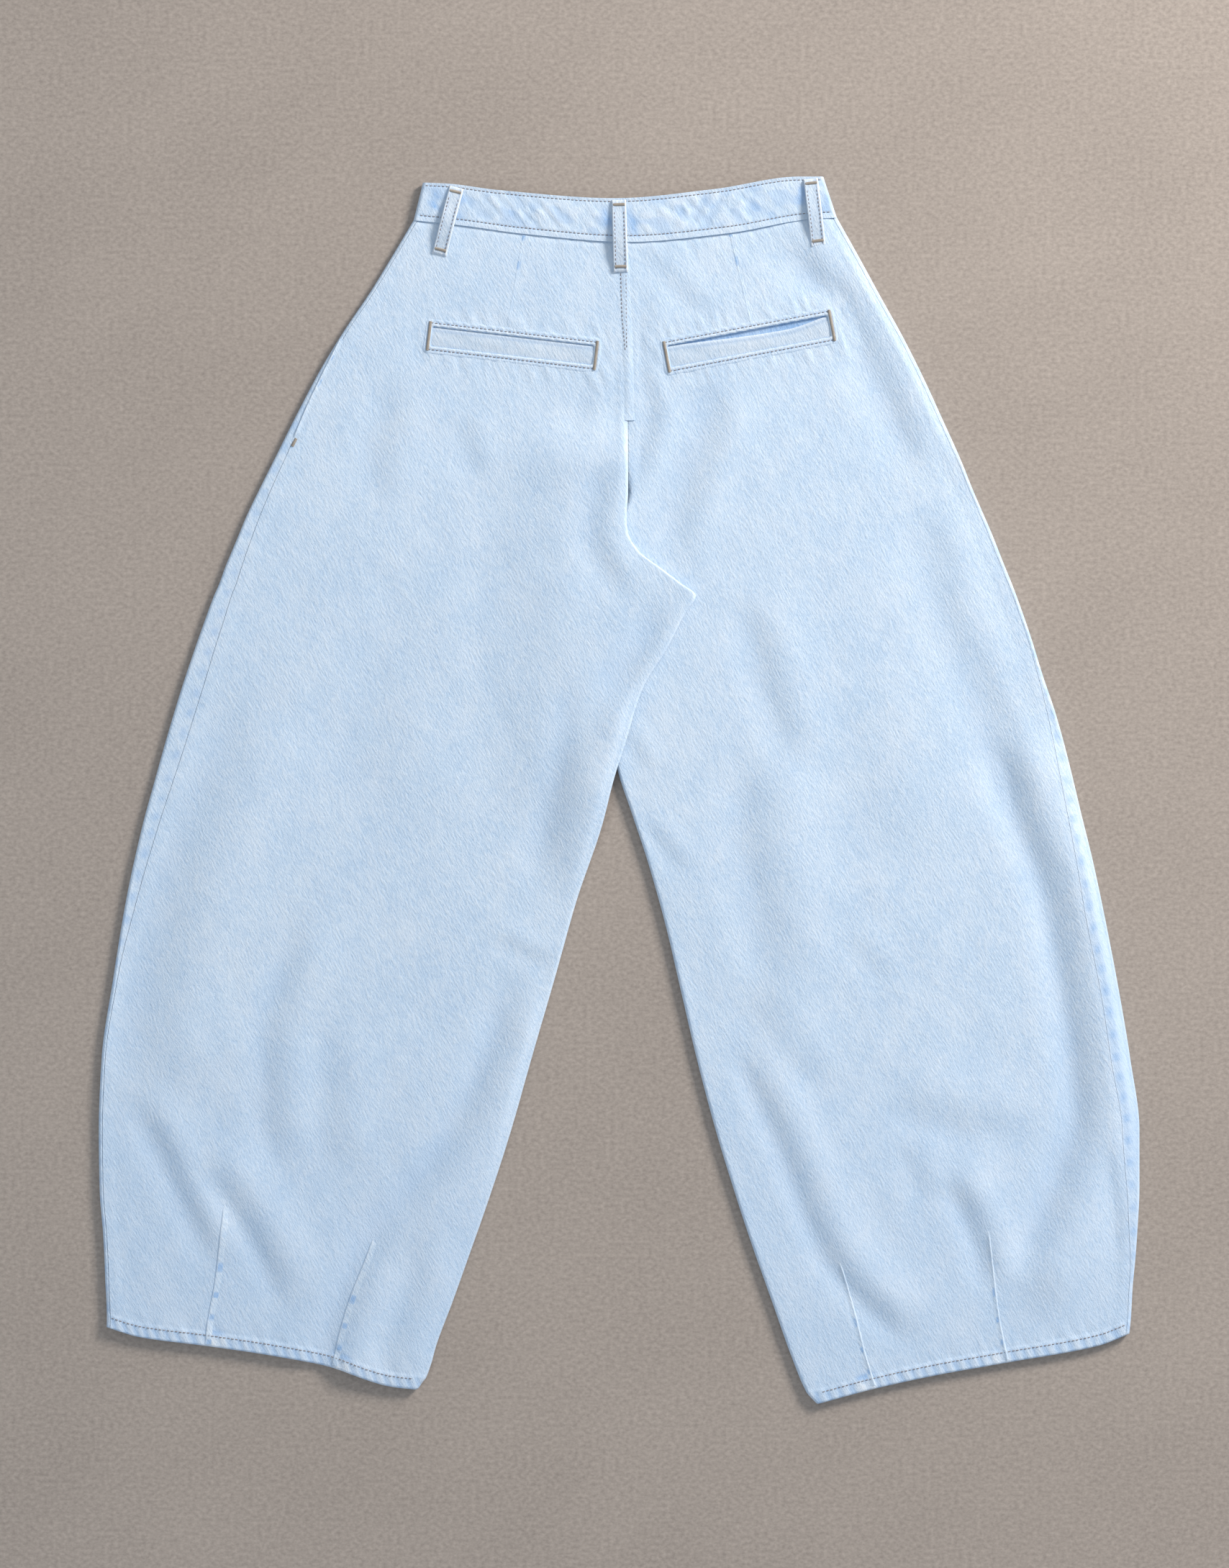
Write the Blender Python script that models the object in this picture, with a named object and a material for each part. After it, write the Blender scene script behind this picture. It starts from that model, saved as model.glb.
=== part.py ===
"""Barrel leg trousers in pale bleached denim, lying flat on their front, back facing up.

Each leg is a flattened tube of cloth: a front panel on the floor and a back panel on top of
it. The front panel rolls round the outer edge and meets the back panel at the side seam, a
little way onto the back. The back panel rolls round the inner edge and meets the front panel
at the inseam. Left and right are the wearer's, and the back faces up, so left is -X.

Frame: +X to the wearer's right, +Y towards the waist, +Z up. The origin is on the floor,
below the middle of the trousers. All sizes in the tables are millimetres.
"""

from collections import namedtuple

import bpy
import numpy as np

MM = 0.001

# Cloth
WALL = 1.2
BAND_WALL = 2.2
TRIM_WALL = 1.6
SEAM_GAP = 0.3
LEG_HEIGHT = 5.5
BAND_HEIGHT = 6.4
NEST = 0.5
HEM_DEPTH = 12.0
HEM_STEP = 1.5
HEM_EXTRA = 0.8

# Centre seam, where the left and the right half meet
CENTRE_SEAM_X = 7.4

# How finely the panels are laid out
MAX_ROW_STEP = 32.0
COLUMNS_ACROSS = 17
ROLL_STEPS = 5
CURL_STEPS = 2
BACK_TURN = np.radians(135.0)
FRONT_TURN = np.radians(180.0) - BACK_TURN

# The left leg's crotch fold lies over the right leg, from the seat down to the gap between
# the legs. Each pair is the height up the cloth where the lift is full, and its run-out.
OVER_CLEARANCE = 0.4
OVER_SHELF = 22.0
OVER_RAMP = 95.0
OVER_HIGH_END = 330.0
OVER_HIGH_RUN = 55.0
OVER_LOW_END = -50.0
OVER_LOW_RUN = 36.0

# How far the waist seam's and the hem's curve still show in the rows of a leg
WAIST_CURVE_REACH = 80.0
HEM_CURVE_REACH = 90.0

# Folds die away towards a leg's edges, and a trough never reaches the layer below
FOLD_FREE_EDGE = 16.0
DEEPEST_TROUGH = 2.6
POCKET_FREE_RUN = 26.0
FOLD_LINE_POINTS = 13
FOLD_END_SHARE = 0.35

# A leg's sections run from its outer edge to its inner edge, from the waist down to the hem.
# seam_in is how far the side seam lies inside the outer edge, and roll says how far the
# inner edge is rolled under: 0 at the centre seam and 1 where it is the inseam's fold.
Section = namedtuple("Section", "outer_x outer_y inner_x inner_y seam_in roll")

LEFT_LEG = [
    Section(-177.3, 490.4, 7.2, 471.7, 3.6, 0),
    Section(-196.0, 459.0, 7.2, 442.0, 3.6, 0),
    Section(-215.0, 428.0, 7.2, 413.0, 3.6, 0),
    Section(-236.0, 397.0, 7.2, 383.0, 3.6, 0),
    Section(-256.0, 364.5, 7.2, 355.0, 6.0, 0),
    Section(-276.0, 327.0, 7.2, 320.0, 7.5, 0.15),
    Section(-294.5, 290.0, 7.2, 287.0, 9.0, 0.75),
    Section(-310.0, 259.0, 7.2, 257.0, 10.5, 1),
    Section(-321.8, 234.4, 5.9, 233.0, 12.0, 1),
    Section(-327.4, 220.7, 7.4, 220.7, 12.5, 1),
    Section(-334.2, 204.6, 17.4, 204.6, 13.5, 1),
    Section(-339.8, 191.0, 35.3, 191.0, 14.5, 1),
    Section(-344.7, 177.3, 53.3, 177.3, 15.0, 1),
    Section(-349.1, 167.4, 65.7, 167.4, 15.5, 1),
    Section(-355.3, 150.7, 55.8, 150.7, 16.5, 1),
    Section(-365.2, 122.8, 41.5, 122.8, 17.5, 1),
    Section(-377.6, 85.6, 19.2, 85.6, 18.6, 1),
    Section(-390.6, 42.2, 5.6, 42.2, 18.0, 1),
    Section(-399.3, 11.2, -4.3, 11.2, 16.5, 1),
    Section(-411.1, -32.2, -15.5, -32.2, 14.0, 1),
    Section(-424.7, -94.2, -36.6, -94.2, 9.5, 1),
    Section(-435.9, -162.4, -55.8, -162.4, 4.2, 1),
    Section(-445.8, -230.6, -75.6, -230.6, 3.6, 1),
    Section(-448.3, -292.6, -93.6, -293.9, 3.6, 1),
    Section(-447.6, -342.2, -111.6, -349.7, 3.6, 1),
    Section(-444.5, -382.5, -129.0, -399.3, 3.6, 1),
    Section(-443.3, -405.5, -144.5, -442.7, 3.6, 1),
    Section(-442.7, -421.6, -156.9, -475.5, 3.6, 1),
    Section(-441.4, -450.7, -165.0, -502.2, 3.6, 1),
    Section(-441.4, -461.9, -174.2, -515.8, 3.6, 1),
]

RIGHT_LEG = [
    Section(187.2, 492.6, 7.6, 471.7, 3.6, 0),
    Section(205.8, 459.4, 7.6, 442.0, 3.6, 0),
    Section(224.4, 425.3, 7.6, 413.0, 3.6, 0),
    Section(244.3, 389.4, 7.6, 383.0, 3.6, 0),
    Section(262.9, 352.2, 7.6, 349.0, 3.6, 0),
    Section(277.1, 321.2, 7.6, 318.0, 3.6, 0),
    Section(293.9, 284.0, 7.6, 284.0, 3.6, 0),
    Section(304.4, 257.9, 7.6, 257.9, 3.6, 0.3),
    Section(311.9, 240.6, 3.1, 241.0, 3.6, 0.6),
    Section(320.5, 220.7, -5.0, 220.7, 3.6, 1),
    Section(329.8, 197.2, -11.8, 197.2, 3.6, 1),
    Section(339.8, 172.4, -15.5, 172.4, 3.6, 1),
    Section(354.0, 132.1, -16.1, 132.1, 3.6, 1),
    Section(364.6, 98.0, -14.9, 98.0, 4.5, 1),
    Section(375.1, 67.0, -11.8, 67.0, 7.4, 1),
    Section(383.8, 36.0, -6.2, 36.0, 9.6, 1),
    Section(390.0, 11.2, 0.0, 11.2, 11.2, 1),
    Section(397.4, -19.8, 10.5, -19.8, 12.6, 1),
    Section(408.0, -63.2, 24.8, -63.2, 15.2, 1),
    Section(419.7, -119.0, 40.3, -119.0, 17.4, 1),
    Section(430.3, -174.8, 53.3, -174.8, 16.8, 1),
    Section(439.6, -230.6, 66.3, -230.6, 17.6, 1),
    Section(447.6, -292.6, 83.1, -293.9, 15.6, 1),
    Section(447.6, -342.2, 99.8, -348.4, 11.4, 1),
    Section(445.8, -379.4, 114.1, -391.8, 7.6, 1),
    Section(443.9, -405.5, 132.1, -442.7, 4.6, 1),
    Section(441.8, -427.2, 148.2, -487.9, 3.6, 1),
    Section(440.2, -455.1, 160.6, -517.1, 3.6, 1),
    Section(438.9, -467.5, 169.9, -528.2, 3.6, 1),
]

# Lines across the cloth, from left to right
Point = namedtuple("Point", "x y")

WAIST_SEAM = [
    Point(-177.3, 490.4),
    Point(-132.7, 485.5),
    Point(-81.8, 478.6),
    Point(7.4, 471.7),
    Point(94.2, 479.3),
    Point(161.8, 491.0),
    Point(187.2, 492.6),
]

WAIST_TOP = [
    Point(-169.3, 522.5),
    Point(-146.3, 521.4),
    Point(-106.0, 516.2),
    Point(-4.0, 509.0),
    Point(81.2, 516.8),
    Point(155.0, 527.6),
    Point(175.5, 527.6),
]

LEFT_HEM = [
    Point(-441.4, -461.9),
    Point(-412.3, -470.6),
    Point(-356.5, -478.0),
    Point(-301.3, -486.1),
    Point(-248.0, -496.6),
    Point(-197.2, -513.0),
    Point(-174.2, -515.8),
]

RIGHT_HEM = [
    Point(169.9, -528.2),
    Point(220.7, -514.6),
    Point(272.2, -503.4),
    Point(334.2, -492.3),
    Point(411.7, -478.0),
    Point(438.9, -467.5),
]

# The largest folds of the back, each a soft ridge or trough along a bent line
Fold = namedtuple("Fold", "x0 y0 x1 y1 x2 y2 half_width height")

LEFT_FOLDS = [
    Fold(-419, -258, -392, -308, -362, -395, 13, -2.2),
    Fold(-400, -255, -371, -305, -342, -386, 14, 2.2),
    Fold(-357, -327, -330, -367, -293, -435, 13, -2.4),
    Fold(-348, -311, -304, -361, -273, -417, 15, 2.4),
    Fold(-258, -119, -281, -218, -270, -324, 20, 2.2),
    Fold(-227, -200, -230, -268, -236, -324, 18, 1.6),
    Fold(-112, -144, -117, -286, -196, -398, 16, -2.0),
    Fold(-301, 123, -363, 11, -400, -187, 24, -1.6),
    Fold(27, 154, 2, 101, -25, 55, 14, -1.8),
    Fold(-51, 57, -62, 5, -72, -57, 15, -1.8),
    Fold(-14, 278, -25, 228, -38, 185, 14, -1.6),
    Fold(-186, 371, -194, 334, -199, 296, 16, -1.2),
]

RIGHT_FOLDS = [
    Fold(383, -119, 399, -255, 368, -444, 14, -3.0),
    Fold(359, -113, 368, -249, 334, -398, 26, 2.6),
    Fold(272, 222, 316, 98, 365, -45, 22, -1.6),
    Fold(106, -237, 173, -392, 255, -474, 14, -2.4),
    Fold(126, -231, 195, -373, 272, -457, 16, 2.3),
    Fold(280, -336, 303, -368, 313, -407, 13, -2.0),
    Fold(294, -324, 325, -361, 331, -410, 14, 2.0),
    Fold(167, -187, 266, -237, 340, -271, 19, 1.8),
    Fold(179, -249, 260, -299, 340, -305, 17, -1.4),
    Fold(161, 247, 173, 61, 226, -125, 28, 2.4),
    Fold(105, 172, 130, 73, 139, -38, 18, -1.7),
    Fold(85, 365, 64, 284, 37, 197, 14, -1.7),
    Fold(123, 464, 179, 427, 232, 346, 15, -1.6),
]

# Back pockets, by the middle of each pocket's mouth. gape is how far the welt has
# dropped from the mouth's upper edge.
Pocket = namedtuple("Pocket", "name x y degrees depth gape")

POCKETS = [
    Pocket("left", -92.1, 382.2, -6.7, 18.0, 0.0),
    Pocket("right", 111.6, 386.1, 10.8, 20.0, 5.4),
]
MOUTH_LENGTH = 141.0
GAPE_PLACE = 0.73
WELT_COLUMNS = 12
WELT_SUNK = 0.4
FACING_WALL = 1.0
FACING_LAP = 5.0

# Belt loops, by the middles of their two ends
Loop = namedtuple("Loop", "name top_x top_y low_x low_y")

LOOPS = [
    Loop("left", -139.9, 518.2, -155.0, 460.0),
    Loop("centre", -0.6, 507.4, 1.2, 445.2),
    Loop("right", 164.2, 525.6, 171.1, 466.9),
]
LOOP_WIDTH = 12.5
LOOP_BOW = 0.8
LOOP_CLIMB = 20.0
LOOP_COLUMNS = 12

# Waist fastening, hidden on the underside
FRONT_LAP = 18.0
FRONT_BAND_DROP = 4.0
FRONT_BAND_RUN = 60.0
BUTTON_RADIUS = 8.5
BUTTON_THICK = 1.0
BUTTON_SIDES = 28
BAND_COLUMNS = 16
BAND_ROWS = 4


def smooth(value):
    """Rise from 0 to 1 with level ends, as value goes from 0 to 1."""
    part = np.clip(value, 0.0, 1.0)
    return part * part * (3.0 - 2.0 * part)


def spline(knots, values, at):
    """Read a curve through the values that never swings past them."""
    knots = np.asarray(knots, float)
    values = np.asarray(values, float)
    step = np.diff(knots)
    slope = np.diff(values) / step
    before = slope[:-1]
    after = slope[1:]
    same_way = before * after > 0
    tangent = np.concatenate([slope[:1], np.zeros(len(slope) - 1), slope[-1:]])
    total = np.where(same_way, before + after, 1.0)
    tangent[1:-1] = np.where(same_way, 2.0 * before * after / total, 0.0)
    place = np.clip(at, knots[0], knots[-1])
    cell = np.clip(np.searchsorted(knots, place, side="right") - 1, 0, len(step) - 1)
    part = (place - knots[cell]) / step[cell]
    left_over = 1.0 - part
    ends = values[cell] * (1.0 + 2.0 * part) * left_over**2
    ends = ends + values[cell + 1] * part**2 * (3.0 - 2.0 * part)
    bends = tangent[cell] * part * left_over**2 - tangent[cell + 1] * part**2 * left_over
    return ends + bends * step[cell]


def line_height(line, x):
    """Read how far up the cloth a line across it lies at x."""
    return spline([point.x for point in line], [point.y for point in line], x)


def column(sections, name):
    """Take one named column of a leg's table as an array."""
    return np.array([getattr(section, name) for section in sections], float)


def right_inner_edge(y):
    """Read where the right leg's inner edge lies, also where the left leg hides it."""
    return spline(-column(RIGHT_LEG, "inner_y"), column(RIGHT_LEG, "inner_x"), -y)


def lift_over_right_leg(x, y):
    """Read how high the right leg lifts the cloth of the left leg off the floor."""
    below_seat = smooth((OVER_HIGH_END - y) / OVER_HIGH_RUN)
    above_gap = smooth((y - OVER_LOW_END) / OVER_LOW_RUN)
    beyond = right_inner_edge(y) - OVER_SHELF - x
    ramp = 1.0 - smooth(beyond / OVER_RAMP)
    return (LEG_HEIGHT + OVER_CLEARANCE) * below_seat * above_gap * ramp


def fold_relief(folds, x, y):
    """Add up the ridges and troughs of a leg's back.

    Each fold is a bell across its line, and dies away at the line's two ends.
    """
    relief = np.zeros_like(x)
    for fold in folds:
        along = np.linspace(0.0, 1.0, FOLD_LINE_POINTS)
        line_x = spline([0.0, 0.5, 1.0], [fold.x0, fold.x1, fold.x2], along)
        line_y = spline([0.0, 0.5, 1.0], [fold.y0, fold.y1, fold.y2], along)
        away = np.hypot(x[..., None] - line_x, y[..., None] - line_y)
        nearest = away.argmin(axis=-1)
        fade = FOLD_END_SHARE + (1.0 - FOLD_END_SHARE) * np.sin(np.pi * along[nearest])
        bell = np.exp(-((away.min(axis=-1) / fold.half_width) ** 2))
        relief += fold.height * fade * bell
    return np.maximum(relief, -DEEPEST_TROUGH)


def clear_of_pockets(x, y):
    """Read how free the cloth is to fold: 0 over a pocket's facing, 1 well away from it."""
    free = np.ones_like(x)
    for pocket in POCKETS:
        angle = np.radians(pocket.degrees)
        along = (x - pocket.x) * np.cos(angle) + (y - pocket.y) * np.sin(angle)
        across = (y - pocket.y) * np.cos(angle) - (x - pocket.x) * np.sin(angle)
        past_end = np.maximum(np.abs(along) - MOUTH_LENGTH / 2 - FACING_LAP, 0.0)
        past_side = np.maximum(np.abs(across) - pocket.depth / 2 - FACING_LAP, 0.0)
        free *= smooth(np.hypot(past_end, past_side) / POCKET_FREE_RUN)
    return free


class Leg:
    """One leg's sections, read at evenly spaced rows from the waist to the hem."""

    def __init__(self, sections, folds, hem, lift):
        self.folds = folds
        self.hem = hem
        self.lift = lift
        middle = (column(sections, "outer_y") + column(sections, "inner_y")) / 2
        down = middle[0] - middle
        self.down = self.stations(down)
        for name in Section._fields:
            setattr(self, name, spline(down, column(sections, name), self.down)[:, None])
        self.down = self.down[:, None]
        across = np.hypot(self.inner_x - self.outer_x, self.inner_y - self.outer_y)
        self.across = across
        self.to_hem = self.down[-1] - self.down

    @staticmethod
    def stations(down):
        """Split long stretches between the table's sections, and add the hem's step."""
        rows = []
        for start, end in zip(down[:-1], down[1:]):
            parts = int(np.ceil((end - start) / MAX_ROW_STEP))
            rows.extend(np.linspace(start, end, parts, endpoint=False))
        hem_top = down[-1] - HEM_DEPTH
        rows = [row for row in rows if row < hem_top - 2.0 * HEM_STEP]
        return np.array(rows + [hem_top - HEM_STEP, hem_top, down[-1]])

    def lay(self, inside):
        """Place points on the floor, each a distance inside its row's outer edge.

        The first rows take up the curve of the waist seam, and the last ones the hem's.
        """
        part = inside / self.across
        x = self.outer_x + (self.inner_x - self.outer_x) * part
        y = self.outer_y + (self.inner_y - self.outer_y) * part
        near_waist = 1.0 - smooth(self.down / WAIST_CURVE_REACH)
        near_hem = 1.0 - smooth(self.to_hem / HEM_CURVE_REACH)
        y = y + near_waist * self.bend(WAIST_SEAM, 0, x)
        y = y + near_hem * self.bend(self.hem, -1, x)
        return x, y

    def bend(self, line, row, x):
        """Read how far a line departs from the straight first or last section."""
        run = (x - self.outer_x[row]) / (self.inner_x[row] - self.outer_x[row])
        run = np.clip(run, 0.0, 1.0)
        straight_x = self.outer_x[row] + (self.inner_x[row] - self.outer_x[row]) * run
        straight_y = self.outer_y[row] + (self.inner_y[row] - self.outer_y[row]) * run
        return line_height(line, straight_x) - straight_y

    def heights(self, inside):
        """Read the floor side of the front panel and the top of the back panel."""
        x, y = self.lay(inside)
        base = self.lift(x, y)
        near_outer = smooth(inside / FOLD_FREE_EDGE)
        near_inner = smooth((self.across - inside) / FOLD_FREE_EDGE)
        free = near_outer * near_inner * clear_of_pockets(x, y)
        relief = fold_relief(self.folds, x, y) * free
        under = base + np.maximum(relief - NEST, 0.0)
        return x, y, under, base + LEG_HEIGHT + relief

    def roll_start(self):
        """Read where the back panel starts to turn over the inner edge."""
        turn = self.roll * BACK_TURN
        length = LEG_HEIGHT / 2 * BACK_TURN
        full = length * np.sinc(np.minimum(turn, np.pi / 2) / np.pi)
        reach = np.where(turn > np.pi / 2, length / np.maximum(turn, 0.1), full)
        return self.across - reach

    def shared_columns(self):
        """Place the columns that the front and the back panel have in common."""
        part = np.linspace(0.0, 1.0, COLUMNS_ACROSS + 1)[None, :]
        return self.seam_in + (self.roll_start() - self.seam_in) * part

    def hem_thickness(self):
        """Read how much thicker the turned hem makes the wall."""
        return HEM_EXTRA * smooth((HEM_DEPTH + HEM_STEP - self.to_hem) / HEM_STEP)

    def back_panel(self):
        """Lay out the back panel's outer and inner points."""
        inside = self.shared_columns()
        inside[:, 0] += SEAM_GAP / 2
        x, y, _, top = self.heights(inside)
        outer = [np.stack([x, y, top + self.hem_thickness()], axis=-1)]
        inner = [np.stack([x, y, top - WALL], axis=-1)]
        start = self.roll_start()
        _, _, _, start_top = self.heights(start)
        length = LEG_HEIGHT / 2 * BACK_TURN
        for step in range(1, ROLL_STEPS + 1):
            run = length * step / ROLL_STEPS
            turn = self.roll * BACK_TURN * step / ROLL_STEPS
            out = start + run * np.sinc(turn / np.pi)
            level = start_top - run * np.sin(turn / 2) * np.sinc(turn / 2 / np.pi)
            outer.append(self.rolled(out, level + self.hem_thickness() * np.cos(turn)))
            inner.append(self.rolled(out - WALL * np.sin(turn), level - WALL * np.cos(turn)))
        return np.concatenate(outer, axis=1), np.concatenate(inner, axis=1)

    def front_panel(self):
        """Lay out the front panel's outer and inner points, from the side seam round."""
        radius = LEG_HEIGHT / 2
        hem = self.hem_thickness()
        lap = self.seam_in - SEAM_GAP / 2
        _, _, _, lap_top = self.heights(lap)
        outer = [self.rolled(lap, lap_top + hem)]
        inner = [self.rolled(lap, lap_top - WALL)]
        edge = np.zeros_like(self.across)
        _, _, base, _ = self.heights(edge)
        for step in range(ROLL_STEPS + 1):
            angle = np.pi / 2 + np.pi * step / ROLL_STEPS
            thick = radius + hem * max(np.sin(angle), 0.0)
            rim = edge + radius + radius * np.cos(angle)
            wall = edge + radius + (radius - WALL) * np.cos(angle)
            outer.append(self.rolled(rim, base + radius + thick * np.sin(angle)))
            inner.append(self.rolled(wall, base + radius + (radius - WALL) * np.sin(angle)))
        inside = self.shared_columns()
        x, y, under, _ = self.heights(inside)
        outer.append(np.stack([x, y, under], axis=-1))
        inner.append(np.stack([x, y, under + WALL + hem], axis=-1))
        curl = np.clip(2.0 * self.roll - 1.0, 0.0, 1.0)
        turn_gap = 2.0 * SEAM_GAP / radius
        full = FRONT_TURN - turn_gap
        length = radius * full
        short = 8.0 * self.roll * (1.0 - self.roll)
        start = self.across - short - curl * radius - (1.0 - curl) * length
        _, _, start_base, _ = self.heights(start)
        for step in range(1, CURL_STEPS + 1):
            run = length * step / CURL_STEPS
            turn = curl * full * step / CURL_STEPS
            out = start + run * np.sinc(turn / np.pi)
            rise = start_base + run * np.sin(turn / 2) * np.sinc(turn / 2 / np.pi)
            outer.append(self.rolled(out, rise))
            inner.append(self.rolled(out - WALL * np.sin(turn), rise + WALL * np.cos(turn)))
        return np.concatenate(outer, axis=1), np.concatenate(inner, axis=1)

    def rolled(self, inside, z):
        """Place one column of points at a height of its own."""
        x, y = self.lay(inside)
        return np.stack([x, y, z + np.zeros_like(x)], axis=-1)


def on_floor(x, y):
    """Read the lift of a leg that lies on the floor all over."""
    return np.zeros_like(x + y)


def grid_triangles(rows, columns):
    """Split a grid's cells into triangles, all along the same diagonal."""
    index = np.arange(rows * columns).reshape(rows, columns)
    a = index[:-1, :-1].ravel()
    b = index[:-1, 1:].ravel()
    c = index[1:, 1:].ravel()
    d = index[1:, :-1].ravel()
    return np.concatenate([np.stack([a, b, c], axis=1), np.stack([a, c, d], axis=1)])


def rim_triangles(rows, columns):
    """Close the wall between two grids along their common border."""
    index = np.arange(rows * columns).reshape(rows, columns)
    border = np.concatenate([index[0, :-1], index[:-1, -1], index[-1, :0:-1], index[:0:-1, 0]])
    following = np.roll(border, -1)
    behind = rows * columns
    first = np.stack([following, border, border + behind], axis=1)
    second = np.stack([following, border + behind, following + behind], axis=1)
    return np.concatenate([first, second])


def cloth_object(name, outer, inner, material):
    """Make a closed wall from a grid of outer points and a grid of inner points."""
    rows, columns = outer.shape[:2]
    points = np.concatenate([outer.reshape(-1, 3), inner.reshape(-1, 3)]) * MM
    face = grid_triangles(rows, columns)
    lining = face[:, ::-1] + rows * columns
    triangles = np.concatenate([face, lining, rim_triangles(rows, columns)])
    corners = points[triangles]
    volume = np.einsum("ij,ij->i", corners[:, 0], np.cross(corners[:, 1], corners[:, 2])).sum()
    if volume < 0:
        triangles = triangles[:, ::-1]
    mesh = bpy.data.meshes.new(name)
    mesh.from_pydata(points.tolist(), [], triangles.tolist())
    return add_object(name, mesh, material)


def add_object(name, mesh, material):
    """Put a mesh into the scene with its material."""
    if material is not None:
        mesh.materials.append(material)
    piece = bpy.data.objects.new(name, mesh)
    bpy.context.scene.collection.objects.link(piece)
    return piece


def finish(name, color, roughness, metallic=0.0):
    """Make a plain material."""
    material = bpy.data.materials.new(name)
    material.use_nodes = True
    shader = material.node_tree.nodes["Principled BSDF"]
    shader.inputs["Base Color"].default_value = (*color, 1.0)
    shader.inputs["Roughness"].default_value = roughness
    shader.inputs["Metallic"].default_value = metallic
    return material


def cut_away(piece, cutter):
    """Cut a closed shape out of a piece and keep the cutter as a guide only."""
    cutter.hide_render = True
    cutter.display_type = "WIRE"
    cut = piece.modifiers.new("cut", "BOOLEAN")
    cut.operation = "DIFFERENCE"
    cut.solver = "EXACT"
    cut.object = cutter


def turned_box(name, pocket, length, depth, low, high):
    """Make a box that lies along a pocket's mouth, between two heights."""
    along = np.array([-1, 1, 1, -1]) * length / 2
    across = np.array([-1, -1, 1, 1]) * depth / 2
    x, y = pocket_place(pocket, along, across)
    corners = [(px * MM, py * MM, z * MM) for z in (low, high) for px, py in zip(x, y)]
    faces = [(3, 2, 1, 0), (4, 5, 6, 7), (0, 1, 5, 4), (1, 2, 6, 5), (2, 3, 7, 6), (3, 0, 4, 7)]
    mesh = bpy.data.meshes.new(name)
    mesh.from_pydata(corners, [], faces)
    return mesh


def pocket_place(pocket, along, across):
    """Turn places along and across a pocket's mouth into places on the cloth."""
    angle = np.radians(pocket.degrees)
    x = pocket.x + along * np.cos(angle) - across * np.sin(angle)
    y = pocket.y + along * np.sin(angle) + across * np.cos(angle)
    return x, y


def add_pocket(pocket, panel, trim, pocketing):
    """Cut a pocket's mouth into its panel, and set in the welt and the facing."""
    cutter = turned_box(
        "cutter_mouth_" + pocket.name, pocket, MOUTH_LENGTH, pocket.depth, WALL, 2 * LEG_HEIGHT
    )
    cut_away(panel, add_object("cutter_mouth_" + pocket.name, cutter, None))
    along = np.linspace(-1, 1, WELT_COLUMNS + 1) * (MOUTH_LENGTH / 2 - SEAM_GAP)
    part = np.linspace(0, 1, WELT_COLUMNS + 1)
    dropped = pocket.gape * spline([0.0, GAPE_PLACE, 1.0], [0.0, 1.0, 0.0], part)
    low_edge = np.full_like(along, -pocket.depth / 2 + SEAM_GAP)
    high_edge = pocket.depth / 2 - SEAM_GAP - dropped
    x, y = pocket_place(pocket, along, np.stack([low_edge, high_edge]))
    top = np.full_like(x, LEG_HEIGHT - WELT_SUNK)
    outer = np.stack([x, y, top], axis=-1)
    inner = outer - np.array([0.0, 0.0, WALL])
    cloth_object("pocket_welt_" + pocket.name, outer, inner, trim)
    facing_top = LEG_HEIGHT - WELT_SUNK - WALL - SEAM_GAP
    facing = turned_box(
        "pocket_facing_" + pocket.name,
        pocket,
        MOUTH_LENGTH + 2 * FACING_LAP,
        pocket.depth + 2 * FACING_LAP,
        facing_top - FACING_WALL,
        facing_top,
    )
    add_object("pocket_facing_" + pocket.name, facing, pocketing)


def add_belt_loop(loop, trim):
    """Lay a belt loop over the waistband, with both its ends sewn down.

    Its underside climbs from the panel onto the band, and bows a little between the ends.
    """
    part = np.linspace(0.0, 1.0, LOOP_COLUMNS + 1)
    low = np.array([loop.low_x, loop.low_y])
    top = np.array([loop.top_x, loop.top_y])
    length = np.hypot(*(top - low))
    forward = (top - low) / length
    sideways = np.array([forward[1], -forward[0]]) * LOOP_WIDTH / 2
    middle = low + (top - low) * part[:, None]
    climb = (BAND_HEIGHT - LEG_HEIGHT) * smooth(part * length / LOOP_CLIMB)
    under = LEG_HEIGHT + climb + SEAM_GAP + LOOP_BOW * np.sin(np.pi * part) ** 2
    edges = np.stack([middle - sideways, middle + sideways])
    inner = np.concatenate([edges, np.broadcast_to(under[None, :, None], (2, len(part), 1))], axis=-1)
    outer = inner + np.array([0.0, 0.0, TRIM_WALL])
    cloth_object("belt_loop_" + loop.name, outer, inner, trim)


def band_points(low_x, high_x, drop, inside, z):
    """Place points of the waistband, by their distance inside its left end.

    Rows run from the waist seam to the top edge, which is let down by drop.
    """
    up = np.linspace(0.0, 1.0, BAND_ROWS)[:, None]
    x = low_x + (high_x - low_x) * up + inside
    seam = line_height(WAIST_SEAM, x) + SEAM_GAP
    top = line_height(WAIST_TOP, x) - drop
    y = seam + (top - seam) * up
    return np.stack([x, y, z + np.zeros_like(x)], axis=-1)


def end_profile(turn_from, turn_to, steps, radius):
    """Lay out a rolled end, as distances inside the edge and heights."""
    angle = np.linspace(turn_from, turn_to, steps + 1)
    outer = np.stack([radius - radius * np.cos(angle), radius + radius * np.sin(angle)])
    thin = radius - BAND_WALL
    inner = np.stack([radius - thin * np.cos(angle), radius + thin * np.sin(angle)])
    return outer, inner


def band_width():
    """Read how wide the flat waistband is at each of its rows."""
    up = np.linspace(0.0, 1.0, BAND_ROWS)[:, None]
    low = WAIST_SEAM[-1].x - WAIST_SEAM[0].x
    high = WAIST_TOP[-1].x - WAIST_TOP[0].x
    return low + (high - low) * up


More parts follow.
